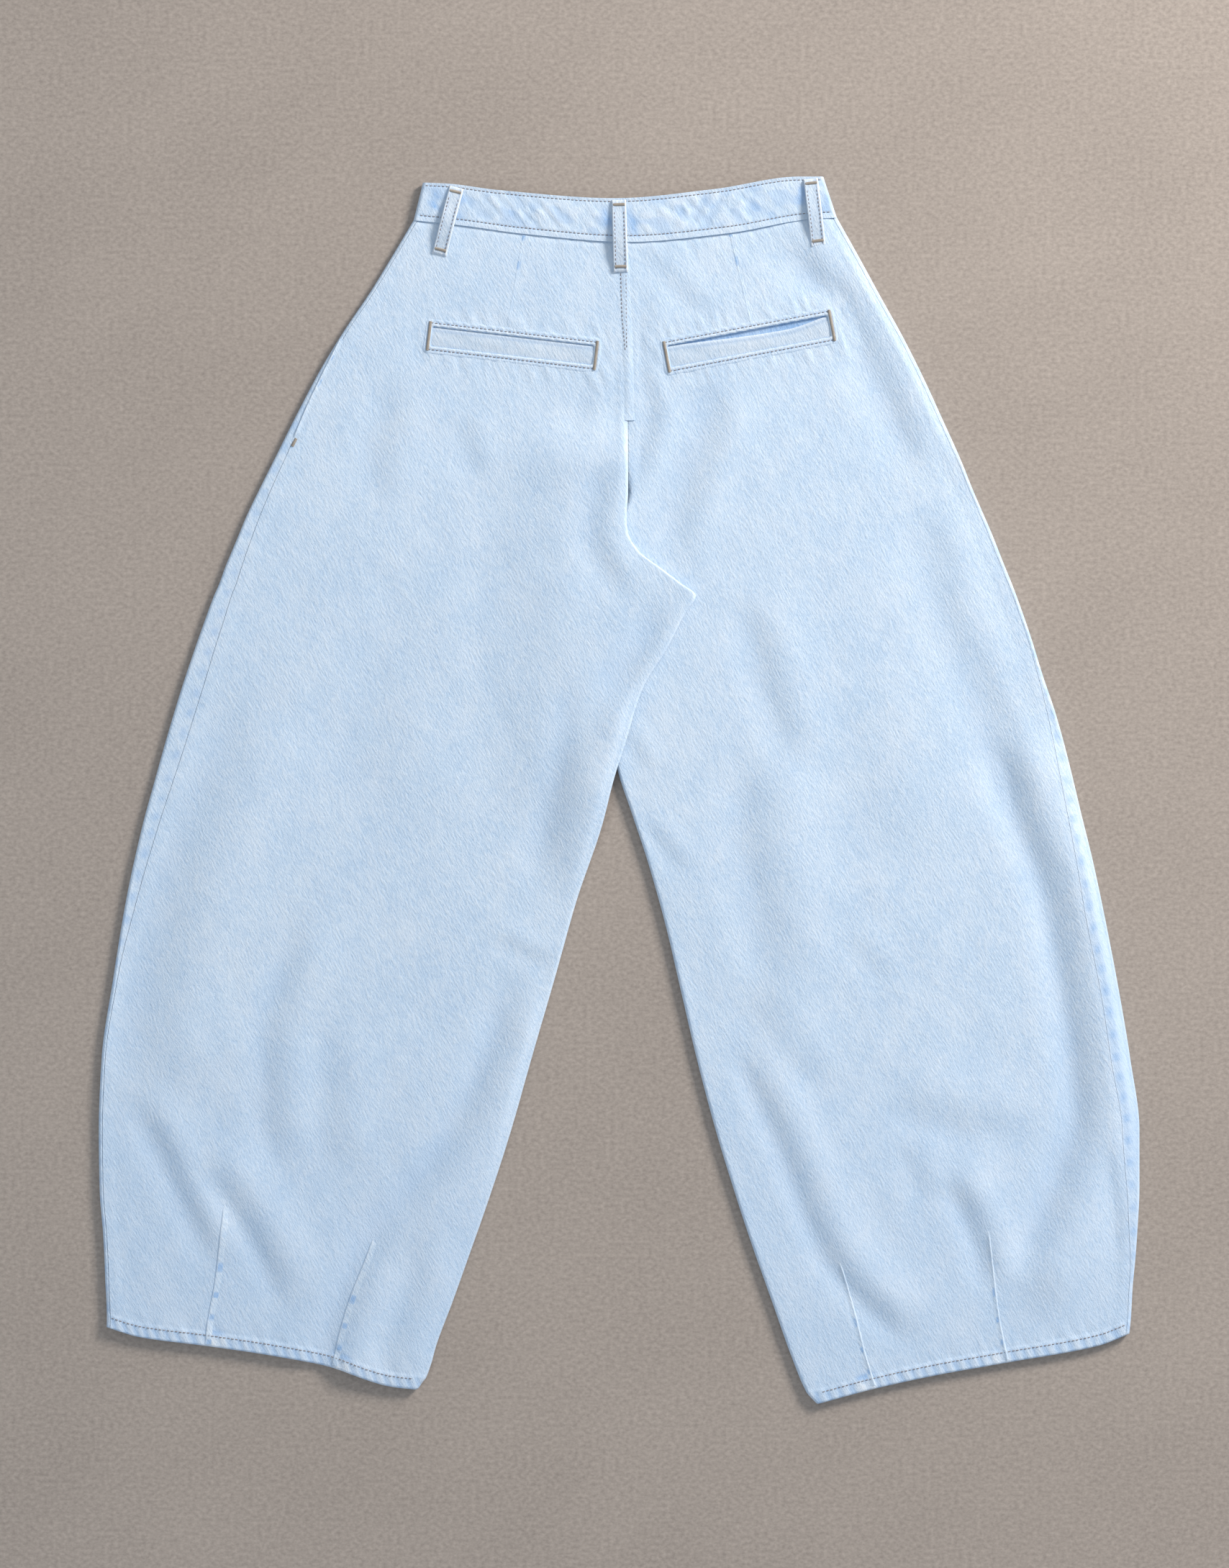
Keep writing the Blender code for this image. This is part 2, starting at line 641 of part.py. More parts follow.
def add_waistband_back(denim):
    """Make the waistband's back piece, which rolls round both of its ends."""
    radius = BAND_HEIGHT / 2
    width = band_width()
    rim, wall = end_profile(-FRONT_TURN, np.pi / 2, ROLL_STEPS, radius)
    part = np.linspace(0.0, 1.0, BAND_COLUMNS + 1)[None, 1:-1]
    flat = radius + (width - 2 * radius) * part
    for_rows = np.ones((BAND_ROWS, 1))
    sides = []
    for ends, level in ((rim, BAND_HEIGHT), (wall, BAND_HEIGHT - BAND_WALL)):
        inside = np.concatenate([for_rows * ends[0], flat, width - ends[0][::-1]], axis=1)
        heights = np.concatenate([ends[1], np.full(flat.shape[1], level), ends[1][::-1]])
        sides.append(band_points(WAIST_SEAM[0].x, WAIST_TOP[0].x, 0.0, inside, heights))
    cloth_object("waistband_back", sides[0], sides[1], denim)


def add_waistband_front(name, denim, side):
    """Make one of the waistband's two front pieces, which lie on the floor.

    The left piece laps over the centre line to carry the button, and the right one ends
    against it.
    """
    radius = BAND_HEIGHT / 2
    width = band_width()
    lap_end = CENTRE_SEAM_X + FRONT_LAP - side * SEAM_GAP / 2
    up = np.linspace(0.0, 1.0, BAND_ROWS)[:, None]
    left_end = WAIST_SEAM[0].x + (WAIST_TOP[0].x - WAIST_SEAM[0].x) * up
    reach = lap_end - left_end
    gap = 2.0 * SEAM_GAP / radius
    rim, wall = end_profile(-FRONT_TURN - gap, -np.pi / 2, CURL_STEPS, radius)
    part = np.linspace(0.0, 1.0, BAND_COLUMNS // 2 + 1)[None, 1:]
    if side > 0:
        flat = radius + (reach - radius) * part
    else:
        flat = (width - radius) - (width - radius - reach) * part
    for_rows = np.ones((BAND_ROWS, 1))
    sides = []
    for ends, level in ((rim, 0.0), (wall, BAND_WALL)):
        end_inside = for_rows * ends[0] if side > 0 else width - ends[0]
        inside = np.concatenate([end_inside, flat], axis=1)
        heights = np.concatenate([ends[1], np.full(flat.shape[1], level)])
        from_ends = smooth(inside / FRONT_BAND_RUN) * smooth((width - inside) / FRONT_BAND_RUN)
        drop = FRONT_BAND_DROP * from_ends
        sides.append(band_points(WAIST_SEAM[0].x, WAIST_TOP[0].x, drop, inside, heights))
    return cloth_object(name, sides[0], sides[1], denim)


def add_disc(name, x, y, radius, low, high, material):
    """Make a flat round disc between two heights."""
    around = np.linspace(0.0, 2.0 * np.pi, BUTTON_SIDES, endpoint=False)
    ring = np.stack([x + radius * np.cos(around), y + radius * np.sin(around)], axis=-1)
    corners = [(px * MM, py * MM, z * MM) for z in (low, high) for px, py in ring]
    lower = list(range(BUTTON_SIDES))
    upper = [index + BUTTON_SIDES for index in lower]
    faces = [lower[::-1], upper]
    for index in lower:
        after = (index + 1) % BUTTON_SIDES
        faces.append((index, after, after + BUTTON_SIDES, index + BUTTON_SIDES))
    mesh = bpy.data.meshes.new(name)
    mesh.from_pydata(corners, [], faces)
    return add_object(name, mesh, material)


def add_button(band, metal):
    """Set the waist button into the lapped band, level with the flat underside."""
    seam = line_height(WAIST_SEAM, CENTRE_SEAM_X)
    top = line_height(WAIST_TOP, CENTRE_SEAM_X) - FRONT_BAND_DROP
    y = float(seam + top) / 2
    socket = BUTTON_THICK + SEAM_GAP
    cutter = add_disc(
        "cutter_button", CENTRE_SEAM_X, y, BUTTON_RADIUS + SEAM_GAP, -1.0, socket, None
    )
    cut_away(band, cutter)
    add_disc("waist_button", CENTRE_SEAM_X, y, BUTTON_RADIUS, 0.0, BUTTON_THICK, metal)


def main():
    """Build the trousers."""
    for old in list(bpy.data.objects):
        bpy.data.objects.remove(old, do_unlink=True)
    denim = finish("pale_denim", (0.56, 0.68, 0.80), 0.85)
    trim = finish("pale_trim", (0.60, 0.66, 0.76), 0.85)
    pocketing = finish("pocket_denim", (0.36, 0.50, 0.70), 0.88)
    metal = finish("button_metal", (0.55, 0.50, 0.42), 0.35, 1.0)
    legs = {
        "left": Leg(LEFT_LEG, LEFT_FOLDS, LEFT_HEM, lift_over_right_leg),
        "right": Leg(RIGHT_LEG, RIGHT_FOLDS, RIGHT_HEM, on_floor),
    }
    backs = {}
    for side, leg in legs.items():
        backs[side] = cloth_object("back_" + side, *leg.back_panel(), denim)
        cloth_object("front_" + side, *leg.front_panel(), denim)
    add_waistband_back(denim)
    lapped = add_waistband_front("waistband_front_left", denim, 1)
    add_waistband_front("waistband_front_right", denim, -1)
    add_button(lapped, metal)
    for pocket in POCKETS:
        add_pocket(pocket, backs[pocket.name], trim, pocketing)
    for loop in LOOPS:
        add_belt_loop(loop, trim)


main()
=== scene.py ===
"""Dress the barrel leg trousers: pale bleached denim, lying flat with the back facing up.

The cloth is worked out in millimetres in the frame of the solids: +X to the wearer's right,
+Y towards the waist, +Z out of the back, with the origin on the floor below the middle. Each
piece is a surface over two parameters, put into its mesh in metres. Left and right are the
wearer's, so left is -X.
"""

from __future__ import annotations

import logging
from dataclasses import dataclass, field
from enum import Enum
from typing import Callable, NamedTuple, Sequence

import bpy
import numpy as np
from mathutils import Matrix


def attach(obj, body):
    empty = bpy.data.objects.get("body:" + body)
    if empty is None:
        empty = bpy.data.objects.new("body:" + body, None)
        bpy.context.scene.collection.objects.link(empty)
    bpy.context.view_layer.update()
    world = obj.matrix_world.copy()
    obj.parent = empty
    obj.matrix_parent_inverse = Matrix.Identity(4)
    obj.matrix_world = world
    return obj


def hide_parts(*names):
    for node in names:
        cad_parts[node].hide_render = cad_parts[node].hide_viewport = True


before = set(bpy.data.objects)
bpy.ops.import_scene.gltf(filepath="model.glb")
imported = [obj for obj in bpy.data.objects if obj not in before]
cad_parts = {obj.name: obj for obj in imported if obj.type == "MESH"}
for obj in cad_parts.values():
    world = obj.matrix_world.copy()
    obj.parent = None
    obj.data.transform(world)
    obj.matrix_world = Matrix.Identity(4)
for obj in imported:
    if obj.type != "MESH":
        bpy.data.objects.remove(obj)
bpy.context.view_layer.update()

LOG = logging.getLogger("trousers")
MM = 0.001
BODY = "root"

Ground = Callable[[np.ndarray, np.ndarray], np.ndarray]

# Cloth, as the solids have it
WALL = 1.2
BAND_WALL = 2.2
TRIM_WALL = 1.6
SEAM_GAP = 0.3
LEG_HEIGHT = 5.5
BAND_HEIGHT = 6.4
NEST = 0.5
HEM_DEPTH = 12.0
HEM_STEP = 1.5
HEM_EXTRA = 0.8
CENTRE_SEAM_X = 7.4
BACK_TURN = np.radians(135.0)
FRONT_TURN = np.radians(45.0)

# The left leg's crotch fold lies over the right leg
OVER_CLEARANCE = 0.4
OVER_SHELF = 22.0
OVER_RAMP = 95.0
OVER_HIGH_END = 330.0
OVER_HIGH_RUN = 55.0
OVER_LOW_END = -84.0
OVER_LOW_RUN = 96.0

# How far the waist seam's and the hem's curve still show in the rows of a leg
WAIST_CURVE_REACH = 80.0
HEM_CURVE_REACH = 90.0

# Folds die away towards a leg's edges, and a trough never reaches the layer below
FOLD_FREE_EDGE = 10.0
DEEPEST_TROUGH = 2.6
POCKET_FREE_RUN = 26.0
FOLD_END_SHARE = 0.3
FOLD_END_RUN = 60.0


class Section(NamedTuple):
    """One row of a leg: its outer and inner edge, the side seam's inset and the inner roll."""

    outer_x: float
    outer_y: float
    inner_x: float
    inner_y: float
    seam_in: float
    roll: float


class Fold(NamedTuple):
    """A place where the cloth falls away to the side, along a line that runs down the leg.

    The cloth is highest to the east of the line and lowest to the west of it, or the other
    way round where rise is negative. rise is the slope on the line itself, west and east say
    how far from it the trough and the ridge lie, and path holds the line's places.
    """

    rise: float
    west: float
    east: float
    path: list[tuple[float, float]]


class Pocket(NamedTuple):
    """A back pocket's mouth, by its middle, its slant, its depth and how far the welt drops."""

    name: str
    x: float
    y: float
    degrees: float
    depth: float
    gape: float


class FrameRing(NamedTuple):
    """One line round a pocket frame: its margin outside the mouth, its height, its wear and its blue, where
    the blue on the wall down into the mouth is painted shade.
    """

    margin: float
    height: float
    worn: float
    blue: float


class LoopPlace(NamedTuple):
    """A belt loop, by the middles of its two ends."""

    name: str
    top_x: float
    top_y: float
    low_x: float
    low_y: float


LEFT_LEG = [
    Section(-177.3, 490.4, 7.2, 471.7, 3.6, 0),
    Section(-196.0, 459.0, 7.2, 442.0, 3.6, 0),
    Section(-215.0, 428.0, 7.2, 413.0, 3.6, 0),
    Section(-236.0, 397.0, 7.2, 383.0, 3.6, 0),
    Section(-256.0, 364.5, 7.2, 355.0, 6.0, 0),
    Section(-276.0, 327.0, 7.2, 320.0, 7.5, 0.15),
    Section(-294.5, 290.0, 7.2, 287.0, 9.0, 0.75),
    Section(-310.0, 259.0, 7.2, 257.0, 10.5, 1),
    Section(-321.8, 234.4, 5.9, 233.0, 12.0, 1),
    Section(-327.4, 220.7, 7.4, 220.7, 12.5, 1),
    Section(-334.2, 204.6, 17.4, 204.6, 13.5, 1),
    Section(-339.8, 191.0, 35.3, 191.0, 14.5, 1),
    Section(-344.7, 177.3, 53.3, 177.3, 15.0, 1),
    Section(-349.1, 167.4, 65.7, 167.4, 15.5, 1),
    Section(-355.3, 150.7, 55.8, 150.7, 16.5, 1),
    Section(-365.2, 122.8, 41.5, 122.8, 17.5, 1),
    Section(-377.6, 85.6, 19.2, 85.6, 18.6, 1),
    Section(-390.6, 42.2, 5.6, 42.2, 18.0, 1),
    Section(-399.3, 11.2, -4.3, 11.2, 16.5, 1),
    Section(-411.1, -32.2, -15.5, -32.2, 14.0, 1),
    Section(-424.7, -94.2, -36.6, -94.2, 9.5, 1),
    Section(-435.9, -162.4, -55.8, -162.4, 4.2, 1),
    Section(-445.8, -230.6, -75.6, -230.6, 3.6, 1),
    Section(-448.3, -292.6, -93.6, -293.9, 3.6, 1),
    Section(-447.6, -342.2, -111.6, -349.7, 3.6, 1),
    Section(-444.5, -382.5, -129.0, -399.3, 3.6, 1),
    Section(-443.3, -405.5, -144.5, -442.7, 3.6, 1),
    Section(-442.7, -421.6, -156.9, -475.5, 3.6, 1),
    Section(-441.4, -450.7, -165.0, -502.2, 3.6, 1),
    Section(-441.4, -461.9, -174.2, -515.8, 3.6, 1),
]

RIGHT_LEG = [
    Section(187.2, 492.6, 7.6, 471.7, 3.6, 0),
    Section(205.8, 459.4, 7.6, 442.0, 3.6, 0),
    Section(224.4, 425.3, 7.6, 413.0, 3.6, 0),
    Section(244.3, 389.4, 7.6, 383.0, 3.6, 0),
    Section(262.9, 352.2, 7.6, 349.0, 3.6, 0),
    Section(277.1, 321.2, 7.6, 318.0, 3.6, 0),
    Section(293.9, 284.0, 7.6, 284.0, 3.6, 0),
    Section(304.4, 257.9, 7.6, 257.9, 3.6, 0.3),
    Section(311.9, 240.6, 3.1, 241.0, 3.6, 0.6),
    Section(320.5, 220.7, -5.0, 220.7, 3.6, 1),
    Section(329.8, 197.2, -11.8, 197.2, 3.6, 1),
    Section(339.8, 172.4, -15.5, 172.4, 3.6, 1),
    Section(354.0, 132.1, -16.1, 132.1, 3.6, 1),
    Section(364.6, 98.0, -14.9, 98.0, 4.5, 1),
    Section(375.1, 67.0, -11.8, 67.0, 7.4, 1),
    Section(383.8, 36.0, -6.2, 36.0, 9.6, 1),
    Section(390.0, 11.2, 0.0, 11.2, 11.2, 1),
    Section(397.4, -19.8, 10.5, -19.8, 12.6, 1),
    Section(408.0, -63.2, 24.8, -63.2, 15.2, 1),
    Section(419.7, -119.0, 40.3, -119.0, 17.4, 1),
    Section(430.3, -174.8, 53.3, -174.8, 16.8, 1),
    Section(439.6, -230.6, 66.3, -230.6, 17.6, 1),
    Section(447.6, -292.6, 83.1, -293.9, 15.6, 1),
    Section(447.6, -342.2, 99.8, -348.4, 11.4, 1),
    Section(445.8, -379.4, 114.1, -391.8, 7.6, 1),
    Section(443.9, -405.5, 132.1, -442.7, 4.6, 1),
    Section(441.8, -427.2, 148.2, -487.9, 3.6, 1),
    Section(440.2, -455.1, 160.6, -517.1, 3.6, 1),
    Section(438.9, -467.5, 169.9, -528.2, 3.6, 1),
]

# Lines across the cloth, from left to right
WAIST_SEAM = [
    (-177.3, 490.4),
    (-132.7, 485.5),
    (-81.8, 478.6),
    (7.4, 471.7),
    (94.2, 479.3),
    (161.8, 491.0),
    (187.2, 492.6),
]
WAIST_TOP = [
    (-169.3, 522.5),
    (-146.3, 521.4),
    (-106.0, 516.2),
    (-4.0, 509.0),
    (81.2, 516.8),
    (155.0, 527.6),
    (175.5, 527.6),
]
LEFT_HEM = [
    (-441.4, -461.9),
    (-412.3, -470.6),
    (-356.5, -478.0),
    (-301.3, -486.1),
    (-248.0, -496.6),
    (-197.2, -513.0),
    (-174.2, -515.8),
]
RIGHT_HEM = [
    (169.9, -528.2),
    (220.7, -514.6),
    (272.2, -503.4),
    (334.2, -492.3),
    (411.7, -478.0),
    (438.9, -467.5),
]

LEFT_FOLDS = [
    Fold(0.13, 20, 30, [(-304, 86), (-340, 10), (-368, -63), (-391, -159), (-413, -262)]),
    Fold(0.24, 10, 14, [(-416, -246), (-413, -262), (-391, -306), (-358, -377), (-336, -425)]),
    Fold(0.24, 9, 18, [(-368, -302), (-358, -316), (-316, -377), (-292, -424), (-284, -455)]),
    Fold(0.16, 12, 17, [(-262, -95), (-282, -160), (-297, -216), (-297, -282), (-280, -340)]),
    Fold(0.10, 12, 18, [(-238, -190), (-245, -240), (-245, -290), (-236, -340)]),
    Fold(
        0.28,
        12,
        20,
        [(-76, -150), (-108, -232), (-126, -278), (-160, -334), (-210, -396), (-240, -470), (-256, -540)],
    ),
    Fold(0.22, 12, 24, [(-24, 110), (-36, 60), (-44, 10), (-56, -40), (-72, -95)]),
    Fold(0.24, 14, 10, [(58, 172), (40, 140), (18, 104), (-7, 67), (-22, 20)]),
    Fold(0.17, 13, 10, [(-4, 300), (-10, 262), (-16, 222), (0, 186), (24, 168)]),
    Fold(0.11, 15, 15, [(-180, 360), (-194, 320), (-203, 285), (-204, 236)]),
    Fold(0.08, 12, 10, [(-134, 330), (-126, 300), (-114, 268)]),
    Fold(0.08, 10, 9, [(-14, 362), (-26, 330), (-36, 296)]),
    Fold(0.20, 14, 14, [(-158, -372), (-170, -415), (-186, -462), (-206, -520)]),
    Fold(0.12, 8, 8, [(-112, -122), (-90, -132), (-68, -142), (-46, -146)]),
    Fold(0.05, 30, 34, [(-150, 210), (-190, 100), (-215, -40)]),
]

RIGHT_FOLDS = [
    Fold(0.12, 20, 16, [(262, 262), (276, 215), (292, 148), (316, 98), (340, 36), (362, -20)]),
    Fold(
        0.34,
        12,
        22,
        [
            (324, 60),
            (343, -3),
            (374, -89),
            (388, -165),
            (397, -223),
            (401, -280),
            (384, -338),
            (361, -394),
            (330, -445),
        ],
    ),
    Fold(0.15, 7, 7, [(420, -290), (428, -345), (432, -385), (431, -425)]),
    Fold(
        0.24,
        9,
        17,
        [(98, -205), (110, -232), (133, -282), (157, -339), (180, -396), (212, -436), (268, -482)],
    ),
    Fold(0.26, 9, 15, [(276, -326), (290, -342), (308, -377), (318, -412), (320, -440)]),
    Fold(0.09, 9, 12, [(242, -300), (256, -322), (268, -356)]),
    Fold(0.09, 16, 22, [(112, -150), (130, -196), (158, -236), (196, -250)]),
    Fold(0.10, 14, 20, [(222, -258), (247, -268), (290, -282), (365, -290)]),
    Fold(0.14, 16, 26, [(122, 52), (118, 0), (118, -40), (128, -94), (134, -140), (136, -190)]),
    Fold(0.15, 14, 18, [(104, 180), (116, 150), (132, 98), (146, 50), (150, 10)]),
    Fold(0.12, 8, 8, [(22, -22), (36, -40), (50, -58), (60, -74)]),
    Fold(0.10, 7, 8, [(6, 60), (10, 48), (20, 28), (26, 12)]),
    Fold(0.17, 15, 15, [(94, 366), (88, 325), (70, 272), (56, 222), (38, 182)]),
    Fold(0.15, 8, 9, [(26, 440), (25, 400), (30, 350), (32, 322), (20, 284), (12, 246)]),
    Fold(0.09, 10, 10, [(10, 474), (30, 458), (58, 430), (90, 400)]),
    Fold(0.19, 14, 17, [(116, 476), (150, 466), (178, 440), (203, 407), (226, 364), (246, 320), (266, 262)]),
    Fold(0.07, 9, 9, [(194, -120), (206, -133), (222, -148), (238, -164)]),
    Fold(-0.10, 8, 8, [(58, 308), (46, 292), (28, 264), (10, 242)]),
    Fold(0.05, 30, 34, [(196, 120), (214, 20), (252, -80)]),
]

POCKETS = [
    Pocket("left", -92.1, 382.2, -6.7, 18.0, 0.0),
    Pocket("right", 111.6, 386.1, 10.8, 20.0, 5.4),
]
MOUTH_LENGTH = 141.0
GAPE_PLACE = 0.73
FACING_LAP = 5.0

# The pocket frame's profile, from inside the mouth outwards and back underneath
FRAME_RINGS = [
    # The blue of the first two rings, on the wall down into the mouth, is painted shade.
    FrameRing(-0.6, -2.4, 0.0, 1.0),
    FrameRing(-0.5, 0.0, 0.0, 0.8),
    FrameRing(0.1, 0.55, 0.25, 0.1),
    FrameRing(0.8, 0.7, 0.45, 0.0),
    FrameRing(1.5, 0.6, 0.35, 0.0),
    FrameRing(2.1, 0.3, 0.05, 0.5),
    FrameRing(2.9, 0.15, 0.0, 0.6),
    FrameRing(3.7, 0.4, 0.1, 0.2),
    FrameRing(4.6, 0.45, 0.15, 0.1),
    FrameRing(5.6, 0.2, 0.05, 0.3),
    FrameRing(6.4, -0.25, 0.0, 0.3),
    FrameRing(6.2, -1.1, 0.0, 0.0),
    FrameRing(0.2, -2.4, 0.0, 0.0),
]

LOOPS = [
    LoopPlace("left", -139.9, 518.2, -155.0, 460.0),
    LoopPlace("centre", -0.6, 507.4, 1.2, 445.2),
    LoopPlace("right", 164.2, 525.6, 171.1, 466.9),
]

# Darts, from the point to the edge that each one is sewn into
HEM_DARTS = {
    "left_outer": [(-340.0, -354.6), (-343.5, -384.4), (-347.8, -421.0), (-355.3, -463.8), (-356.3, -476.0)],
    "left_inner": [(-212.0, -385.0), (-220.1, -406.7), (-231.3, -434.6), (-239.3, -460.0), (-247.3, -494.0)],
    "right_inner": [(188.5, -403.6), (195.3, -424.7), (203.4, -453.8), (212.0, -487.9), (219.6, -511.5)],
    "right_outer": [(316.8, -376.3), (320.5, -406.7), (325.5, -447.6), (330.5, -474.9), (333.7, -489.5)],
}
WAIST_DARTS = {
    "left": [(-96.2, 396.0), (-91.1, 424.0), (-81.6, 478.0)],
    "right": [(114.0, 401.0), (108.6, 424.0), (95.9, 478.5)],
}


def smooth(value: np.ndarray | float) -> np.ndarray:
    """Rise from 0 to 1 with level ends: 3 t squared less 2 t cubed, for t held to 0..1."""
    part = np.clip(value, 0.0, 1.0)
    return part * part * (3.0 - 2.0 * part)


def bell(value: np.ndarray, width: float, power: int = 2) -> np.ndarray:
    """Fall from 1 to both sides of 0: the exponential of minus a power of value over width."""
    return np.exp(-((value / width) ** power))


def spline(knots: Sequence[float], values: Sequence[float], at: np.ndarray) -> np.ndarray:
    """Read a smooth curve through values that never swings past them.

    The tangent at a knot is the harmonic mean of the slopes beside it, or level where they
    differ in sign, and between knots the curve is the cubic with those tangents.

    Args:
        knots: Where the values stand, rising.
        values: The curve's values there.
        at: Where to read the curve.

    Returns:
        The curve's values at those places.
    """
    knots = np.asarray(knots, float)
    values = np.asarray(values, float)
    step = np.diff(knots)
    slope = np.diff(values) / step
    before = slope[:-1]
    after = slope[1:]
    same_way = before * after > 0
    tangent = np.concatenate([slope[:1], np.zeros(len(slope) - 1), slope[-1:]])
    total = np.where(same_way, before + after, 1.0)
    tangent[1:-1] = np.where(same_way, 2.0 * before * after / total, 0.0)
    place = np.clip(at, knots[0], knots[-1])
    cell = np.clip(np.searchsorted(knots, place, side="right") - 1, 0, len(step) - 1)
    part = (place - knots[cell]) / step[cell]
    left_over = 1.0 - part
    ends = values[cell] * (1.0 + 2.0 * part) * left_over**2
    ends = ends + values[cell + 1] * part**2 * (3.0 - 2.0 * part)
    bends = tangent[cell] * part * left_over**2 - tangent[cell + 1] * part**2 * left_over
    return ends + bends * step[cell]


def line_height(line: Sequence[tuple[float, float]], x: np.ndarray) -> np.ndarray:
    """Read how far up the cloth a line across it lies at x."""
    points = np.asarray(line, float)
    return spline(points[:, 0], points[:, 1], x)


def curve_through(points: Sequence[tuple[float, float]], pitch: float) -> np.ndarray:
    """Draw a smooth line through points, with a point every pitch millimetres.

    Each coordinate is a smooth curve over the chord length, read again at even steps of the
    drawn line's own length.

    Args:
        points: The places that the line runs through.
        pitch: The distance from one point of the line to the next.

    Returns:
        The line's points, one a row.
    """
    knots = np.asarray(points, float)
    chord = np.concatenate([[0.0], np.cumsum(np.hypot(*np.diff(knots, axis=0).T))])
    fine = np.linspace(0.0, chord[-1], 400)
    drawn = np.stack([spline(chord, knots[:, 0], fine), spline(chord, knots[:, 1], fine)], axis=1)
    length = np.concatenate([[0.0], np.cumsum(np.hypot(*np.diff(drawn, axis=0).T))])
    count = max(2, int(round(length[-1] / pitch)) + 1)
    even = np.linspace(0.0, length[-1], count)
    return np.stack([np.interp(even, length, drawn[:, 0]), np.interp(even, length, drawn[:, 1])], axis=1)


def sideways_of(line: np.ndarray) -> np.ndarray:
    """Read the unit vector to the left of a line's own direction at each of its points."""
    forward = np.gradient(line, axis=0)
    forward = forward / np.linalg.norm(forward, axis=1, keepdims=True)
    return np.stack([-forward[:, 1], forward[:, 0]], axis=1)


class Nearness(NamedTuple):
    """How places lie to a line: their distance, how far along it, and the signed side."""

    away: np.ndarray
    along: np.ndarray
    side: np.ndarray
    length: float


def near_line(line: np.ndarray, x: np.ndarray, y: np.ndarray) -> Nearness:
    """Measure places against a line of straight runs.

    The nearest point on each run is its foot of the perpendicular, held to the run's ends,
    and the nearest run counts. The side is positive to the left of the line's direction.
    """
    away = np.full(x.shape, np.inf)
    along = np.zeros(x.shape)
    side = np.zeros(x.shape)
    start = 0.0
    for (ax, ay), (bx, by) in zip(line[:-1], line[1:]):
        run_x = bx - ax
        run_y = by - ay
        length = float(np.hypot(run_x, run_y))
        off_x = x - ax
        off_y = y - ay
        part = np.clip((off_x * run_x + off_y * run_y) / length**2, 0.0, 1.0)
        distance = np.hypot(off_x - part * run_x, off_y - part * run_y)
        closer = distance < away
        away = np.where(closer, distance, away)
        along = np.where(closer, start + part * length, along)
        side = np.where(closer, (run_x * off_y - run_y * off_x) / length, side)
        start += length
    return Nearness(away, along, side, start)


@dataclass(frozen=True)
class Crinkle:
    """Soft random unevenness: seeded heights on a lattice, joined by smooth steps.

    wide and tall are the lattice's cell in millimetres, and slant moves it sideways for each
    millimetre up, so that its ridges lean to the left.
    """

    seed: int
    wide: float
    tall: float
    height: float
    slant: float = 0.0
    cells: int = 256

    def read(self, x: np.ndarray, y: np.ndarray) -> np.ndarray:
        """Read the unevenness at places, in millimetres."""
        heights = np.random.default_rng(self.seed).uniform(-1.0, 1.0, (self.cells, self.cells))
        across = (x + self.slant * y) / self.wide + self.cells / 2
        up = y / self.tall + self.cells / 2
        column = np.floor(across).astype(int)
        row = np.floor(up).astype(int)
        right = smooth(across - column)
        above = smooth(up - row)
        a = heights[row % self.cells, column % self.cells]
        b = heights[row % self.cells, (column + 1) % self.cells]
        c = heights[(row + 1) % self.cells, column % self.cells]
        d = heights[(row + 1) % self.cells, (column + 1) % self.cells]
        low = a + (b - a) * right
        high = c + (d - c) * right
        return self.height * (low + (high - low) * above)


class MeshParts(NamedTuple):
    """A mesh as numbers: points in millimetres, and faces of three or four corners."""

    points: np.ndarray
    faces: list[tuple[int, ...]]


def grid_index(rows: int, columns: int) -> np.ndarray:
    """Number a grid's points row by row."""
    return np.arange(rows * columns).reshape(rows, columns)


def wall_of(outer: np.ndarray, inner: np.ndarray, keep: np.ndarray | None = None) -> MeshParts:
    """Close a wall between two grids, with holes where cells aren't kept.

    Each kept cell gives a face on both grids, and each edge between a kept cell and none
    gives a face across the wall.

    Args:
        outer: The grid of points on the cloth's outer side.
        inner: The grid on its inner side.
        keep: True for each cell that is cloth, or None for all.

    Returns:
        The wall as a closed mesh.
    """
    rows, columns = outer.shape[:2]
    if keep is None:
        keep = np.ones((rows - 1, columns - 1), bool)
    index = grid_index(rows, columns)
    behind = rows * columns
    a = index[:-1, :-1][keep]
    b = index[:-1, 1:][keep]
    c = index[1:, 1:][keep]
    d = index[1:, :-1][keep]
    faces = [np.stack([a, b, c, d], axis=1), np.stack([a, d, c, b], axis=1) + behind]
    padded = np.pad(keep, 1)
    before = padded[:-1, 1:-1]
    after = padded[1:, 1:-1]
    for wanted, first, second in (
        (after & ~before, index[:, 1:], index[:, :-1]),
        (before & ~after, index[:, :-1], index[:, 1:]),
    ):
        p = first[wanted]
        q = second[wanted]
        faces.append(np.stack([p, q, q + behind, p + behind], axis=1))
    before = padded[1:-1, :-1]
    after = padded[1:-1, 1:]
    for wanted, first, second in (
        (after & ~before, index[:-1], index[1:]),
        (before & ~after, index[1:], index[:-1]),
    ):
        p = first[wanted]
        q = second[wanted]
        faces.append(np.stack([p, q, q + behind, p + behind], axis=1))
    points = np.concatenate([outer.reshape(-1, 3), inner.reshape(-1, 3)])
    return MeshParts(points, np.concatenate(faces).tolist())


def tube_of(rings: np.ndarray, closed: bool = False) -> MeshParts:
    """Join rings of points into a tube, capped at its ends unless it closes on itself."""
    count, sides = rings.shape[:2]
    index = grid_index(count, sides)
    following = np.roll(index, -1, axis=0) if closed else index[1:]
    start = index if closed else index[:-1]
    faces = np.stack(
        [start, np.roll(start, -1, axis=1), np.roll(following, -1, axis=1), following], axis=-1
    )
    faces = faces.reshape(-1, 4).tolist()
    if not closed:
        faces.append(tuple(index[0, ::-1].tolist()))
        faces.append(tuple(index[-1].tolist()))
    return MeshParts(rings.reshape(-1, 3), faces)


